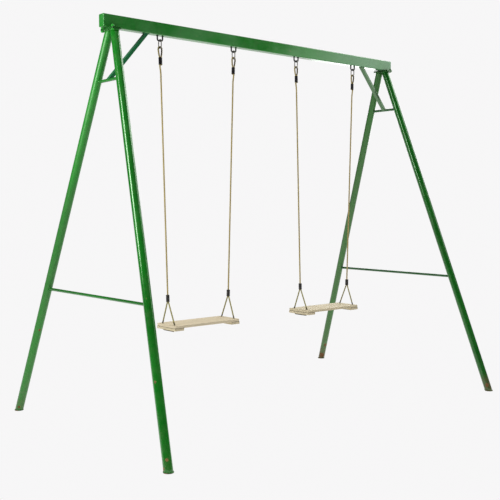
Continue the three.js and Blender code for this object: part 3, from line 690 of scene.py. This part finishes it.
def slab(w, h, corner, z0, z1, edge, holes=(), centre=(0.0, 0.0), steps=4, hole_edge=1.0, wobble=None):
    """A rounded plate from z0 to z1 with rounded edges. holes are functions of z and of how much wider the
    hole is there, which give an outline. wobble(x, y, z) moves the points a little."""
    turn = [math.pi / 2 * k / steps for k in range(steps + 1)]
    levels = [(z1 - edge * (1 - math.cos(a)), edge * (1 - math.sin(a))) for a in turn]
    middle = [(z1 + (z0 - z1) * k / 3, 0.0) for k in (1, 2)]
    levels += [m for m in middle if z0 + edge < m[0] < z1 - edge]
    levels += [(z0 + edge * (1 - math.cos(a)), edge * (1 - math.sin(a))) for a in reversed(turn)]
    verts, faces, rims = [], [], []

    def add_rows(rows, outward):
        base = len(verts)
        n = len(rows[0])
        for row in rows:
            verts.extend(row)
        for i in range(len(rows) - 1):
            for j in range(n):
                a, b = base + i * n + j, base + i * n + (j + 1) % n
                c, d = a + n, b + n
                faces.append((a, c, d, b) if outward else (a, b, d, c))
        return [base + j for j in range(n)], [base + (len(rows) - 1) * n + j for j in range(n)]

    rows = []
    for z, inset in levels:
        o = rounded_outline(w - 2 * inset, h - 2 * inset, max(corner - inset, 0.3))
        rows.append([(centre[0] + q[0], centre[1] + q[1], z) for q in o])
    rims.append(add_rows(rows, True))
    for hole in holes:
        rows = []
        hz = [(z1 - hole_edge * (1 - math.cos(a)), hole_edge * (1 - math.sin(a))) for a in turn]
        hz += [(z1 - hole_edge + (z0 + hole_edge - (z1 - hole_edge)) * k / 8, 0.0) for k in range(1, 8)]
        hz += [(z0 + hole_edge * (1 - math.cos(a)), hole_edge * (1 - math.sin(a))) for a in reversed(turn)]
        for z, wider in hz:
            rows.append([(q[0], q[1], z) for q in hole(z, wider)])
        rims.append(add_rows(rows, False))
    for level in (0, 1):
        loops = [[verts[i] for i in rim[level]] for rim in rims]
        index = [i for rim in rims for i in rim[level]]
        tris = tessellate_polygon([[Vector((q[0], q[1], 0)) for q in lp] for lp in loops])
        for a, b, c in tris:
            pa, pb, pc = (verts[index[i]] for i in (a, b, c))
            area = (pb[0] - pa[0]) * (pc[1] - pa[1]) - (pb[1] - pa[1]) * (pc[0] - pa[0])
            if abs(area) < 1e-9:
                continue
            up = area > 0
            want_up = level == 0
            faces.append((index[a], index[b], index[c]) if up == want_up else (index[c], index[b], index[a]))
    v = np.array(verts, float)
    if wobble is not None:
        v = wobble(v)
    return v, orient(v, faces)


def bead(points, r, pitch=3.2, closed=True, sides=10, hint=(0, 0, 1)):
    """A weld bead: overlapping ripples along a line."""
    p = np.asarray(points, float)
    if closed:
        p = np.vstack([p, p[:1]])
    s = np.concatenate([[0], np.cumsum(np.linalg.norm(np.diff(p, axis=0), axis=1))])
    count = max(24, int(s[-1] / (pitch / 5)))
    at = np.linspace(0, s[-1], count, endpoint=not closed)
    q = np.stack([np.interp(at, s, p[:, k]) for k in range(3)], axis=1)
    turns = max(1, round(s[-1] / pitch))
    f = (at / s[-1] * turns) % 1.0
    ripple = 1 + 0.13 * (1 - f) + 0.05 * np.sin(at * 0.9)
    rad = r * ripple
    if not closed:
        ends = np.minimum(at, s[-1] - at)
        rad = rad * np.sqrt(np.clip(ends / (1.6 * r), 0.08, 1))
    return sweep(q, rad, sides, closed=closed, hint=hint)


# ------------------------------------------------------------------ the beam
paint_beam = green_paint("green_paint_beam", chip_rate=0.3, patches=0.75)
paint_plate = {
    "left": green_paint("green_paint_plates_left", chip_rate=0.5, tone=0.55),
    "right": green_paint("green_paint_plates_right", chip_rate=0.5, tone=0.35),
}
paint_bar = {
    "left": green_paint("green_paint_bars_left", chip_rate=0.6, tone=0.74),
    "right": green_paint("green_paint_bars_right", chip_rate=0.6, tone=0.42, faded=(0.30, 0.30), hue=(0.030, 0.060, 0.040)),
}
paint_brace = {
    "left": green_paint("green_paint_brace_left", chip_rate=0.6, tone=0.75, faded=(0.60, 0.60), hue=(0.010, 0.125, 0.060)),
    "right": green_paint("green_paint_brace_right", chip_rate=0.6, tone=0.70, faded=(0.70, 0.70), hue=(0.070, 0.118, 0.066)),
}
bolt_mat = {
    "left": painted_bolts("green_paint_bolts_left", (0.016, 0.270, 0.020), 0.0),
    # the right bolts are paler: wear, and a painted highlight
    "right": painted_bolts("green_paint_bolts_right", (0.050, 0.150, 0.065), 0.45),
}
hanger_mat = black_steel("black_satin_steel")
link_mat = zinc("zinc_wire")
sleeve_mat = black_plastic("black_sleeve_upper", 0.02)
sleeve_low_mat = black_plastic("black_sleeve_lower", 0.45)

mid = (BEAM_UNDERSIDE + BEAM_TOP) / 2
half = 1200 - 3 - 0.3


def section(x, w, h, r):
    o = rounded_outline(w, h, r, 8)
    return [(x, q[0], mid + q[1]) for q in o]


outer = [section(x, 50, 70, 5) for x in [-half] + list(np.linspace(-half + 1.5, half - 1.5, 49)) + [half]]
inner = [section(x, 44, 64, 2) for x in (half, 0, -half)]
build("painted_beam", [loft(outer + inner, wrap=True)], paint_beam, "frame", ("beam",), sharp=32, weighted=True)

for end, s in ENDS:
    rows = []
    for x, inset in ((1196.9, 1.2), (1196.9, 0.0), (1197.6, -0.0), (1198.2, 0.0), (1198.9, 0.25), (1199.5, 0.75), (1199.85, 1.5), (1200, 2.6)):
        rows.append(section(s * x, 50 - 2 * inset, 70 - 2 * inset, 5 - inset))
    build(f"painted_end_cap_{end}", [loft(rows[1:])], paint_beam, "frame", (f"beam_end_cap_{end}",), sharp=40, weighted=True)

# ------------------------------------------------- flanges, bolts and nuts
def hexagon(phi, af):
    k = (phi + math.pi / 6) % (math.pi / 3) - math.pi / 6
    return af / 2 / np.cos(k)


PHI = np.linspace(0, 2 * math.pi, 72, endpoint=False)


def turned(profile, x, y, shape=None):
    """Rows round a vertical line at x, y. profile is (z, radius) pairs; shape gives the radius at each angle."""
    rows = []
    for z, r in profile:
        rr = np.full_like(PHI, r) if shape is None else np.minimum(shape, r)
        rows.append(np.stack([x + rr * np.cos(PHI), y + rr * np.sin(PHI), np.full_like(PHI, z)], axis=1))
    return rows


def threaded(z0, z1, d, pitch, x, y, steps=10):
    rows = []
    count = int((z1 - z0) / pitch * steps)
    for i in range(count + 1):
        z = z0 + (z1 - z0) * i / count
        f = (z / pitch - PHI / (2 * math.pi)) % 1.0
        depth = 0.55 * pitch * np.abs(2 * f - 1)
        fade = min(1.0, (z1 - z) / pitch)
        r = d / 2 - depth * 0.8 - (1 - fade) * 0.7
        rows.append(np.stack([x + r * np.cos(PHI), y + r * np.sin(PHI), np.full_like(PHI, z)], axis=1))
    return rows


BEAM_PLATE = (2229.7, 2235.7)
LEG_PLATE = (2223.4, 2229.4)
for end, s in ENDS:
    cx = s * 1140.0
    holes = [lambda z, wider, t=t: circle_outline(cx + s * 20.5, t * 53.0, 5.6 + wider) for t in (-1, 1)]
    for label, (z0, z1) in (("beam_flange", BEAM_PLATE), ("leg_flange", LEG_PLATE)):
        build(f"painted_{label}_{end}", [slab(60, 126, 6, z0, z1, 0.9, holes, (cx, 0.0), 3, 0.6)], paint_plate[end], "frame", (f"{label}_{end}",), sharp=40, weighted=True)
    for side, t in SIDES:
        bx, by = cx + s * 20.5, t * 53.0
        under, flat_ = 2223.1, hexagon(PHI, 16.0)
        low = under - 6.5
        head = turned([(under, 7.6), (under - 0.4, 7.8)], bx, by)
        body_rows = turned([(under - 0.4, 8.0), (under - 0.8, 8.5), (under - 1.2, 9.3), (low + 1.5, 9.3), (low + 1.0, 8.9), (low + 0.5, 8.3), (low + 0.15, 7.8), (low, 7.2), (low, 5.0)], bx, by, flat_)
        shank = turned([(under + 0.0, 5.0), (2235.7 + 1.0, 5.0)], bx, by)
        thread = threaded(2235.7 + 1.0, 2235.7 + 0.3 + 8 + 4, 10.0, 1.5, bx, by)
        rows = body_rows[::-1] + head[::-1] + shank + thread
        build(f"painted_bolt_{end}_{side}", [loft(rows)], bolt_mat[end], "frame", (f"flange_bolt_{end}_{side}",), sharp=28)
        nz0, nz1 = 2236.0, 2244.0
        prof = [(nz0, 7.4), (nz0 + 0.35, 8.0), (nz0 + 0.8, 8.7), (nz0 + 1.3, 9.3), (nz1 - 1.3, 9.3), (nz1 - 0.8, 8.7), (nz1 - 0.35, 8.0), (nz1, 7.4)]
        rows = turned(prof, bx, by, flat_) + turned([(nz1, 6.0), (nz1 - 0.9, 5.3), (nz0 + 0.9, 5.3), (nz0, 6.0)], bx, by)
        build(f"painted_nut_{end}_{side}", [loft(rows, wrap=True)], bolt_mat[end], "frame", (f"flange_nut_{end}_{side}",), sharp=28)
    # fillet welds along both sides of the beam, on its plate
    shells = []
    for t in (-1, 1):
        line = [(cx + x, t * 25.6, 2236.4) for x in np.linspace(-27, 27, 28)]
        shells.append(bead(line, 3.0, closed=False, hint=(0, 0, 1)))
    build(f"weld_beam_flange_{end}", shells, paint_beam, "frame", sharp=60)

# ------------------------------------------------------------------ the legs
CHIPS = {
    ("left", "front"): [((-1.3187, -0.6665, 0.4114), 0.007), ((-1.3434, -0.7964, 0.0621), 0.009), ((-1.3563, -0.7880, 0.0193), 0.010)],
    ("left", "back"): [((-1.2918, 0.5929, 0.5179), 0.007), ((-1.3474, 0.7695, 0.0258), 0.009)],
    ("right", "front"): [((1.3157, -0.7561, 0.1043), 0.014), ((1.3111, -0.7980, 0.0417), 0.014)],
    ("right", "back"): [((1.3162, 0.7317, 0.1184), 0.015), ((1.3111, 0.7717, 0.0309), 0.023)],
}
LEG_LOOK = {
    ("left", "front"): dict(grime=0.10, tone=0.90, dusty=0.05, rust=(0.290, 0.190, 0.050)),
    ("left", "back"): dict(grime=0.25, faded=(0.0, 0.30), dusty=0.35, matt=0.20),
    ("right", "front"): dict(grime=0.75, tone=0.60, dusty=0.15, grime_top=0.15),
    ("right", "back"): dict(grime=0.85, tone=0.70, faded=(0.42, 0.85), hue=(0.054, 0.118, 0.038), dusty=0.45),
}


def plane_cut_tube(p0, p1, d, wall, z_low, z_high, sides=64, stations=60):
    """A tube whose two ends are cut level."""
    t, u, w = basis(p1 - p0)
    a = np.linspace(0, 2 * math.pi, sides, endpoint=False)

    def rows(radius, zs):
        ring = radius * (np.cos(a)[:, None] * u + np.sin(a)[:, None] * w)
        out = []
        for z in zs:
            # each generator runs along t from its own start
            k = (z - (p0[2] + ring[:, 2])) / t[2]
            out.append(p0 + ring + k[:, None] * t)
        return out
    outer = rows(d / 2 - 0.5, [z_low]) + rows(d / 2, [z_low + 0.6] + list(np.linspace(z_low + 20, z_high - 20, stations)) + [z_high - 0.6]) + rows(d / 2 - 0.5, [z_high])
    inner = rows(d / 2 - wall, list(np.linspace(z_high, z_low, 4)))
    return loft(outer + inner, wrap=True)


def saddle(bar_p, bar_dir, bar_r, leg_p, leg_dir, leg_r, sign, count=72):
    """Where a bar's surface meets a leg's, on the side of the leg that sign says."""
    t, u, w = basis(bar_dir)
    ld = unit(leg_dir)
    out = []
    for k in range(count):
        a = 2 * math.pi * k / count
        q = bar_p + bar_r * (math.cos(a) * u + math.sin(a) * w)
        # |(q + t x - leg_p) minus its part along ld| = leg_r
        m = (q - leg_p) - ld * np.dot(q - leg_p, ld)
        n = t - ld * np.dot(t, ld)
        A, B, C = np.dot(n, n), 2 * np.dot(m, n), np.dot(m, m) - leg_r**2
        disc = max(B * B - 4 * A * C, 0.0)
        x = (-B + sign * math.sqrt(disc)) / (2 * A)
        out.append(q + t * x)
    return out


for end, s in ENDS:
    axes = {}
    for side, t in SIDES:
        p0, p1 = leg_point(s, t, 0.0), leg_point(s, t, LEG_TOP_Z)
        axes[t] = (p0, unit(p1 - p0))
        mat = green_paint(f"green_paint_leg_{end}_{side}", CHIPS[(end, side)], **LEG_LOOK[(end, side)])
        build(f"painted_leg_{end}_{side}", [plane_cut_tube(p0, p1, LEG_D, LEG_WALL, 4.3, LEG_TOP_Z)], mat, "frame", (f"leg_{end}_{side}",), sharp=50)
        # The foot discs get a darker tone, painted contact shade at the ground; their grime is dirt.
        foot = green_paint(f"green_paint_foot_{end}_{side}", [((float(p0[0]) * MM - 0.024, float(p0[1]) * MM - 0.012, 0.002), 0.012)],
                           grime=0.8 if s > 0 else 0.3, tone=0.35, dusty=0.10)
        rows = []
        for z, r in ((0.0, 24.0), (0.0, 26.4), (0.35, 26.85), (0.9, 27.0), (3.0, 27.0), (3.6, 26.85), (4.0, 26.3), (4.0, 22.0)):
            rows.append(np.stack([p0[0] + r * np.cos(PHI), p0[1] + r * np.sin(PHI), np.full_like(PHI, z)], axis=1))
        build(f"painted_foot_{end}_{side}", [loft(rows)], foot, "frame", (f"foot_{end}_{side}",), sharp=40)
        # welds: round the top under the plate, and round the foot disc
        tdir, u, w = basis(p1 - p0)
        shells = []
        for z, r in ((LEG_TOP_Z - 0.4, 2.4), (4.6, 1.5)):
            ring = []
            for a in np.linspace(0, 2 * math.pi, 96, endpoint=False):
                g = (LEG_D / 2 + 0.4) * (math.cos(a) * u + math.sin(a) * w)
                k = (z - (p0[2] + g[2])) / tdir[2]
                ring.append(p0 + g + k * tdir)
            shells.append(bead(ring, r, hint=(0, 0, 1)))
        build(f"weld_leg_{end}_{side}", shells, mat, "frame", sharp=60)

    # ------------------------------------------------------ bars of the frame
    welds = []
    for label, z, d, wall in (("lower_crossbar", LOWER_BAR_Z, LOWER_BAR_D, 2.0), ("upper_crossbar", UPPER_BAR_Z, UPPER_BAR_D, 2.0)):
        a, b = leg_point(s, -1, z), leg_point(s, 1, z)
        direction = b - a
        front = saddle(a, direction, d / 2, *axes[-1], LEG_D / 2, 1)
        back = saddle(a, direction, d / 2, *axes[1], LEG_D / 2, -1)
        front, back = np.array(front), np.array(back)
        steps = np.linspace(0, 1, 31)[:, None, None]
        outer = front[None] * (1 - steps) + back[None] * steps
        if wall:
            fi = np.array(saddle(a, direction, d / 2 - wall, *axes[-1], LEG_D / 2, 1))
            bi = np.array(saddle(a, direction, d / 2 - wall, *axes[1], LEG_D / 2, -1))
            inner = np.array([bi, fi])
            shell = loft(np.concatenate([outer, inner]), wrap=True)
        else:
            shell = loft(outer)
        build(f"painted_{label}_{end}", [shell], paint_bar[end], "frame", (f"{label}_{end}",), sharp=50)
        tdir, u, w = basis(direction)
        for ring, inward in ((front, 1), (back, -1)):
            r = 1.9 if wall else 1.5
            centre = ring.mean(0)
            out_ = ring + (ring - centre - tdir * ((ring - centre) @ tdir)[:, None]) / (d / 2) * 0.5 * r * 0.6 + tdir * inward * r * 0.25
            welds.append(bead(out_, r, pitch=2.6))
    build(f"weld_crossbars_{end}", welds, paint_bar[end], "frame", sharp=60)

    # knee brace: a rectangular tube from the middle of the upper crossbar to the beam
    ux = leg_point(s, 1, UPPER_BAR_Z)[0]
    low, high = np.array((ux, 0.0, UPPER_BAR_Z)), np.array((s * BRACE_TOP_X, 0.0, BEAM_UNDERSIDE))
    tdir = unit(high - low)
    across = np.array((0.0, 1.0, 0.0))
    w = np.cross(tdir, across)

    def brace_rings(inset, corner):
        o = even_outline(rounded_outline(BRACE_X - 2 * inset, BRACE_Y - 2 * inset, corner), 120)
        g = o[:, :1] * w + o[:, 1:] * across
        k_top = (BEAM_UNDERSIDE - 0.3 - (low[2] + g[:, 2])) / tdir[2]
        # the low end is notched round the crossbar, whose line is along Y
        reach, off = UPPER_BAR_D / 2 + 0.3, o[:, 0]
        k_low = np.maximum(np.sqrt(np.clip(reach**2 - off**2, 0, None)), 3.0)
        return low + g + k_low[:, None] * tdir, low + g + k_top[:, None] * tdir
    low_o, top_o = brace_rings(0.0, 2.2)
    low_i, top_i = brace_rings(BRACE_WALL, 0.8)
    steps = np.linspace(0, 1, 25)[:, None, None]
    outer = low_o[None] * (1 - steps) + top_o[None] * steps
    shell = loft(np.concatenate([outer, top_i[None], low_i[None]]), wrap=True)
    build(f"painted_knee_brace_{end}", [shell], paint_brace[end], "frame", (f"knee_brace_{end}",), sharp=38, weighted=True)
    around = top_o - tdir * 0.6 + unit(high - low)[None] * 0.0
    middle = top_o.mean(0)
    around = middle + (around - middle) * 1.03
    shells = [bead(around, 2.1, pitch=2.8)]
    for g in (1, -1):
        line = [low + across * y + tdir * 2.6 + w * 9.4 * g for y in np.linspace(-11.5, 11.5, 16)]
        shells.append(bead(line, 1.9, pitch=2.6, closed=False))
    build(f"weld_knee_brace_{end}", shells, paint_brace[end], "frame", sharp=60)

# ------------------------------------------------------------ the swings
def sleeve(name, cx, r, z0, z1, wide_x, wide_y, cup, material, body, node):
    """An oval crimped sleeve, leaning with the rope: two pressed grooves and rounded ends."""
    h = z1 - z0
    a = np.linspace(0, 2 * math.pi, 64, endpoint=False)
    lean = r * math.atan(LEAN)
    foot = np.array((cx + r * half_at(z0), 0.0, z0))

    def place(q):
        x = q[:, 0] * math.cos(lean) + q[:, 2] * math.sin(lean)
        z = -q[:, 0] * math.sin(lean) + q[:, 2] * math.cos(lean)
        return np.stack([x, q[:, 1], z], axis=1) + foot

    def oval(z, inset=0.0):
        return place(np.stack([(wide_x / 2 - inset) * np.cos(a), (wide_y / 2 - inset) * np.sin(a), np.full_like(a, z)], axis=1))

    def stadium(z, r_, c, along_x):
        ca, sa = np.cos(a), np.sin(a)
        lead = ca if along_x else sa
        shift = np.sign(np.round(lead, 9)) * c * np.minimum(1, np.abs(lead) * 6)
        px = r_ * ca + (shift if along_x else 0)
        py = r_ * sa + (0 if along_x else shift)
        return place(np.stack([px, py, np.full_like(a, z)], axis=1))

    def circle(z, r_):
        return place(np.stack([r_ * np.cos(a), r_ * np.sin(a), np.full_like(a, z)], axis=1))

    rows = []
    for k in range(5):
        t = math.pi / 2 * k / 4
        rows.append(oval(1.4 * (1 - math.cos(t)), 1.4 * (1 - math.sin(t))))
    for z in np.linspace(1.9, h - 1.9, 44):
        groove = sum(math.exp(-(((z - g * h) / 1.7) ** 2)) for g in (0.27, 0.5, 0.73))
        rows.append(oval(z, 0.62 * groove))
    for k in range(4, -1, -1):
        t = math.pi / 2 * k / 4
        rows.append(oval(h - 1.4 * (1 - math.cos(t)), 1.4 * (1 - math.sin(t))))
    shells_rows = rows
    if cup:  # a round cup above for the rope, a slot below for the loop's two strands
        top = [circle(h, 8.1), circle(h - 0.5, 7.8), circle(h - 1.2, 7.7), circle(h - 10.0, 7.7), circle(h - 10.5, 7.2), circle(h - 10.5, 3.0)]
        bottom = [stadium(h - 14.5, 2.0, 1.5, False), stadium(h - 14.5, 5.2, STRAND, False), stadium(0.8, 5.4, STRAND, False), stadium(0.0, 5.8, STRAND, False)]
        rows = bottom + shells_rows + top
        return build(name, [loft(rows)], material, body, (node,), sharp=40)
    bore = [stadium(h, 5.8, STRAND, True), stadium(h - 0.8, 5.4, STRAND, True), stadium(0.8, 5.4, STRAND, True), stadium(0.0, 5.8, STRAND, True)]
    return build(name, [loft(shells_rows + bore, wrap=True)], material, body, (node,), sharp=40)


for swing, sx_ in ENDS:
    cx = sx_ * SWING_X
    for letter, r in ROPES:
        ident = f"{swing}_{letter}"
        hx = cx + r * HANGER_HALF
        # hanger
        top = BEAM_UNDERSIDE - 0.3
        pts = [(hx - HANGER_W, 0, top), (hx - HANGER_W, 0, HANGER_BAR_Z + HANGER_BEND + 3)]
        pts += arc(hx - HANGER_W + HANGER_BEND, HANGER_BAR_Z + HANGER_BEND, HANGER_BEND, 180, 270, 12)
        pts += arc(hx + HANGER_W - HANGER_BEND, HANGER_BAR_Z + HANGER_BEND, HANGER_BEND, 270, 360, 12)
        pts += [(hx + HANGER_W, 0, HANGER_BAR_Z + HANGER_BEND + 3), (hx + HANGER_W, 0, top)]
        build(f"bent_hanger_{ident}", [sweep(pts, HANGER_ROD_D / 2, 24)], hanger_mat, "frame", (f"hanger_{ident}",), sharp=50)
        shells = []
        for g in (-1, 1):
            a = np.linspace(0, 2 * math.pi, 48, endpoint=False)
            ring = np.stack([hx + g * HANGER_W + 5.0 * np.cos(a), 5.0 * np.sin(a), np.full_like(a, BEAM_UNDERSIDE - 0.9)], axis=1)
            shells.append(bead(ring, 1.7, pitch=2.6))
        build(f"weld_hanger_{ident}", shells, hanger_mat, "frame", sharp=60)
        # link: an oval of wire with its butt weld on one straight side
        h = (LINK_TOP_WIRE - LINK_LOW_WIRE) / 2 - LINK_RADIUS
        lz = (LINK_TOP_WIRE + LINK_LOW_WIRE) / 2
        line = []
        for k in range(33):
            a = math.pi * k / 32
            line.append((hx, LINK_RADIUS * math.cos(a), lz + h + LINK_RADIUS * math.sin(a)))
        for k in range(1, 12):
            line.append((hx, -LINK_RADIUS, lz + h - 2 * h * k / 12))
        for k in range(33):
            a = math.pi + math.pi * k / 32
            line.append((hx, LINK_RADIUS * math.cos(a), lz - h + LINK_RADIUS * math.sin(a)))
        for k in range(1, 12):
            line.append((hx, LINK_RADIUS, lz - h + 2 * h * k / 12))
        line = np.array(line)
        away = np.linalg.norm(line - np.array((hx, LINK_RADIUS, lz)), axis=1)
        rad = LINK_WIRE_D / 2 * (1 + 0.10 * np.exp(-((away / 2.2) ** 2)))
        build(f"wire_link_{ident}", [sweep(line, rad, 20, closed=True, hint=(1, 0, 0))], link_mat, f"{swing}_ropes", (f"link_{ident}",), sharp=60)
        # sleeves
        sleeve(f"crimp_sleeve_upper_{ident}", cx, r, *UPPER_SLEEVE, 24.0, 17.0, False, sleeve_mat, f"{swing}_ropes", f"upper_sleeve_{ident}")
        sleeve(f"crimp_sleeve_lower_{ident}", cx, r, *LOWER_SLEEVE, 19.0, 24.0, True, sleeve_low_mat, f"{swing}_seat", f"lower_sleeve_{ident}")

    # the seat board and its battens
    def hole_at(r, t, groove=False):
        hx_ = cx + r * half_at(555.0)

        def outline(z, wider):
            a = np.linspace(0, 2 * math.pi, 36, endpoint=False)
            rx = 5.5 + wider
            px = hx_ + rx * np.cos(a)
            y0 = HOLE_Y
            ry = np.full_like(a, rx)
            cy = np.full_like(a, y0)
            if groove:  # the loop has worn the hole towards the middle
                k = min(max((549.9 - z) / 18.0, 0.0), 0.86)
                route_y = HOLE_Y - ROPE_BEND + ROPE_BEND * math.sqrt(1 - k * k)
                inner = np.sin(a) < 0
                cy = np.where(inner, route_y + 0.0, y0)
                ry = np.where(inner, (4.9 + wider) / max(math.sqrt(1 - k * k), 0.5), rx)
            py = cy + ry * np.sin(a)
            return np.stack([px, t * py], axis=1) if t > 0 else np.stack([px, t * py], axis=1)[::-1]
        return outline

    holes = [hole_at(r, t) for r in (-1, 1) for t in (-1, 1)]
    wood = pine(f"pine_board_{swing}", (0.012 * sx_ + 0.02, 0.568 + 0.042), 1.0 if sx_ < 0 else 0.94, "X", 0.12 if sx_ < 0 else 0.0,
                (z_seam := (BOARD_TOP - BOARD_T - 0.15) * MM, cx * MM, (BOARD_X / 2 - 1 - BATTEN_X / 2) * MM, BATTEN_X / 2 * MM))
    build(f"planed_board_{swing}", [slab(BOARD_X, BOARD_Y, 10.0, BOARD_TOP - BOARD_T, BOARD_TOP, 2.6, holes, (cx, 0.0), 5, 1.4)], wood, f"{swing}_seat", (f"seat_board_{swing}",), sharp=40, weighted=True)
    for letter, r in ROPES:
        ident = f"{swing}_{letter}"
        z1 = BOARD_TOP - BOARD_T - 0.3
        bx = cx + r * (BOARD_X / 2 - 1 - BATTEN_X / 2)
        wood = pine(f"pine_batten_{ident}", (bx * MM + 0.018 * r, z1 * MM - 0.05), 0.97, "Y", 0.0, (z_seam, bx * MM, 0.0, 0.04))
        build(f"planed_batten_{ident}", [slab(BATTEN_X, BATTEN_Y, 1.4, z1 - BATTEN_T, z1, 1.4, [hole_at(r, t, True) for t in (-1, 1)], (bx, 0.0), 4, 1.0)], wood, f"{swing}_seat", (f"seat_batten_{ident}",), sharp=40, weighted=True)

# ============================================================ stage and light
def stage_floor():
    """Pale paper: plain and evenly lit to look at, and a matt pale surface for the light that falls on it."""
    m = Nodes("floor_pale")
    m.set(Base_Color=(0.80, 0.80, 0.80), Roughness=1.0, Specular_IOR_Level=0.0,
          Emission_Color=(1.0, 1.0, 1.0, 1.0), Emission_Strength=0.30)
    plain = m.add("ShaderNodeEmission")
    plain.inputs["Color"].default_value = (*PAPER, 1.0)
    both = m.add("ShaderNodeMixShader")
    m.link(m.add("ShaderNodeLightPath").outputs["Is Camera Ray"], both.inputs[0])
    m.link(m.shader.outputs["BSDF"], both.inputs[1])
    m.link(plain.outputs[0], both.inputs[2])
    m.link(both.outputs[0], m.out.inputs["Surface"])
    return m.mat


PAPER = (0.930, 0.925, 0.930)
floor_mesh = bpy.data.meshes.new("floor")
floor_mesh.from_pydata([(-60, -60, 0), (60, -60, 0), (60, 60, 0), (-60, 60, 0)], [], [(0, 1, 2, 3)])
floor = bpy.data.objects.new("floor", floor_mesh)
floor.location = (0, 0, -0.0005)
floor_mesh.materials.append(stage_floor())
scene.collection.objects.link(floor)

# the room: white behind the object; in reflections a dim studio, bright overhead
world = bpy.data.worlds.new("studio")
scene.world = world
world.use_nodes = True
wt = world.node_tree
wt.nodes.clear()


def wnode(kind, **settings):
    n = wt.nodes.new(kind)
    for k, v in settings.items():
        setattr(n, k, v)
    return n


sep = wnode("ShaderNodeSeparateXYZ")
wt.links.new(wnode("ShaderNodeTexCoord").outputs["Generated"], sep.inputs[0])
overhead = wnode("ShaderNodeMapRange", interpolation_type="SMOOTHSTEP")
wt.links.new(sep.outputs[2], overhead.inputs["Value"])
for key, x in (("From Min", 0.70), ("From Max", 0.97), ("To Min", 0.12), ("To Max", 2.4)):
    overhead.inputs[key].default_value = x
studio = wnode("ShaderNodeBackground")
studio.inputs["Color"].default_value = (1.0, 1.0, 1.0, 1.0)
wt.links.new(overhead.outputs["Result"], studio.inputs["Strength"])
paper = wnode("ShaderNodeBackground")
paper.inputs["Color"].default_value = (*PAPER, 1.0)
paper.inputs["Strength"].default_value = 1.0
choose = wnode("ShaderNodeMixShader")
wt.links.new(wnode("ShaderNodeLightPath").outputs["Is Camera Ray"], choose.inputs[0])
wt.links.new(studio.outputs[0], choose.inputs[1])
wt.links.new(paper.outputs[0], choose.inputs[2])
wo = wnode("ShaderNodeOutputWorld")
wt.links.new(choose.outputs[0], wo.inputs["Surface"])


def softbox(name, location, target, size, radiance, colour=(1, 1, 1)):
    light = bpy.data.lights.new(name, "AREA")
    light.shape = "RECTANGLE"
    light.size, light.size_y = size
    light.energy = radiance * math.pi * size[0] * size[1]
    light.color = colour
    ob = bpy.data.objects.new(name, light)
    ob.location = location
    ob.rotation_mode = "QUATERNION"
    ob.rotation_quaternion = (Vector(target) - Vector(location)).to_track_quat("-Z", "Y")
    ob.visible_camera = False
    scene.collection.objects.link(ob)
    return ob


softbox("softbox_left", (-3.3, 0.0, 2.38), (0.0, 0.0, 2.08), (0.80, 1.45), 23.0)
softbox("softbox_right_low", (3.4, -2.4, 2.45), (0.0, -2.10, 2.25), (2.1, 1.3), 2.5)
softbox("softbox_right_high", (3.4, -1.8, 4.3), (0.0, -1.5, 4.1), (2.8, 1.7), 8.0)
softbox("softbox_right_back", (3.4, 1.6, 2.7), (0.0, 1.2, 2.5), (2.6, 2.2), 4.2)

scene.view_settings.view_transform = "Standard"
scene.view_settings.look = "None"
scene.view_settings.exposure = 0.0
scene.view_settings.gamma = 1.0
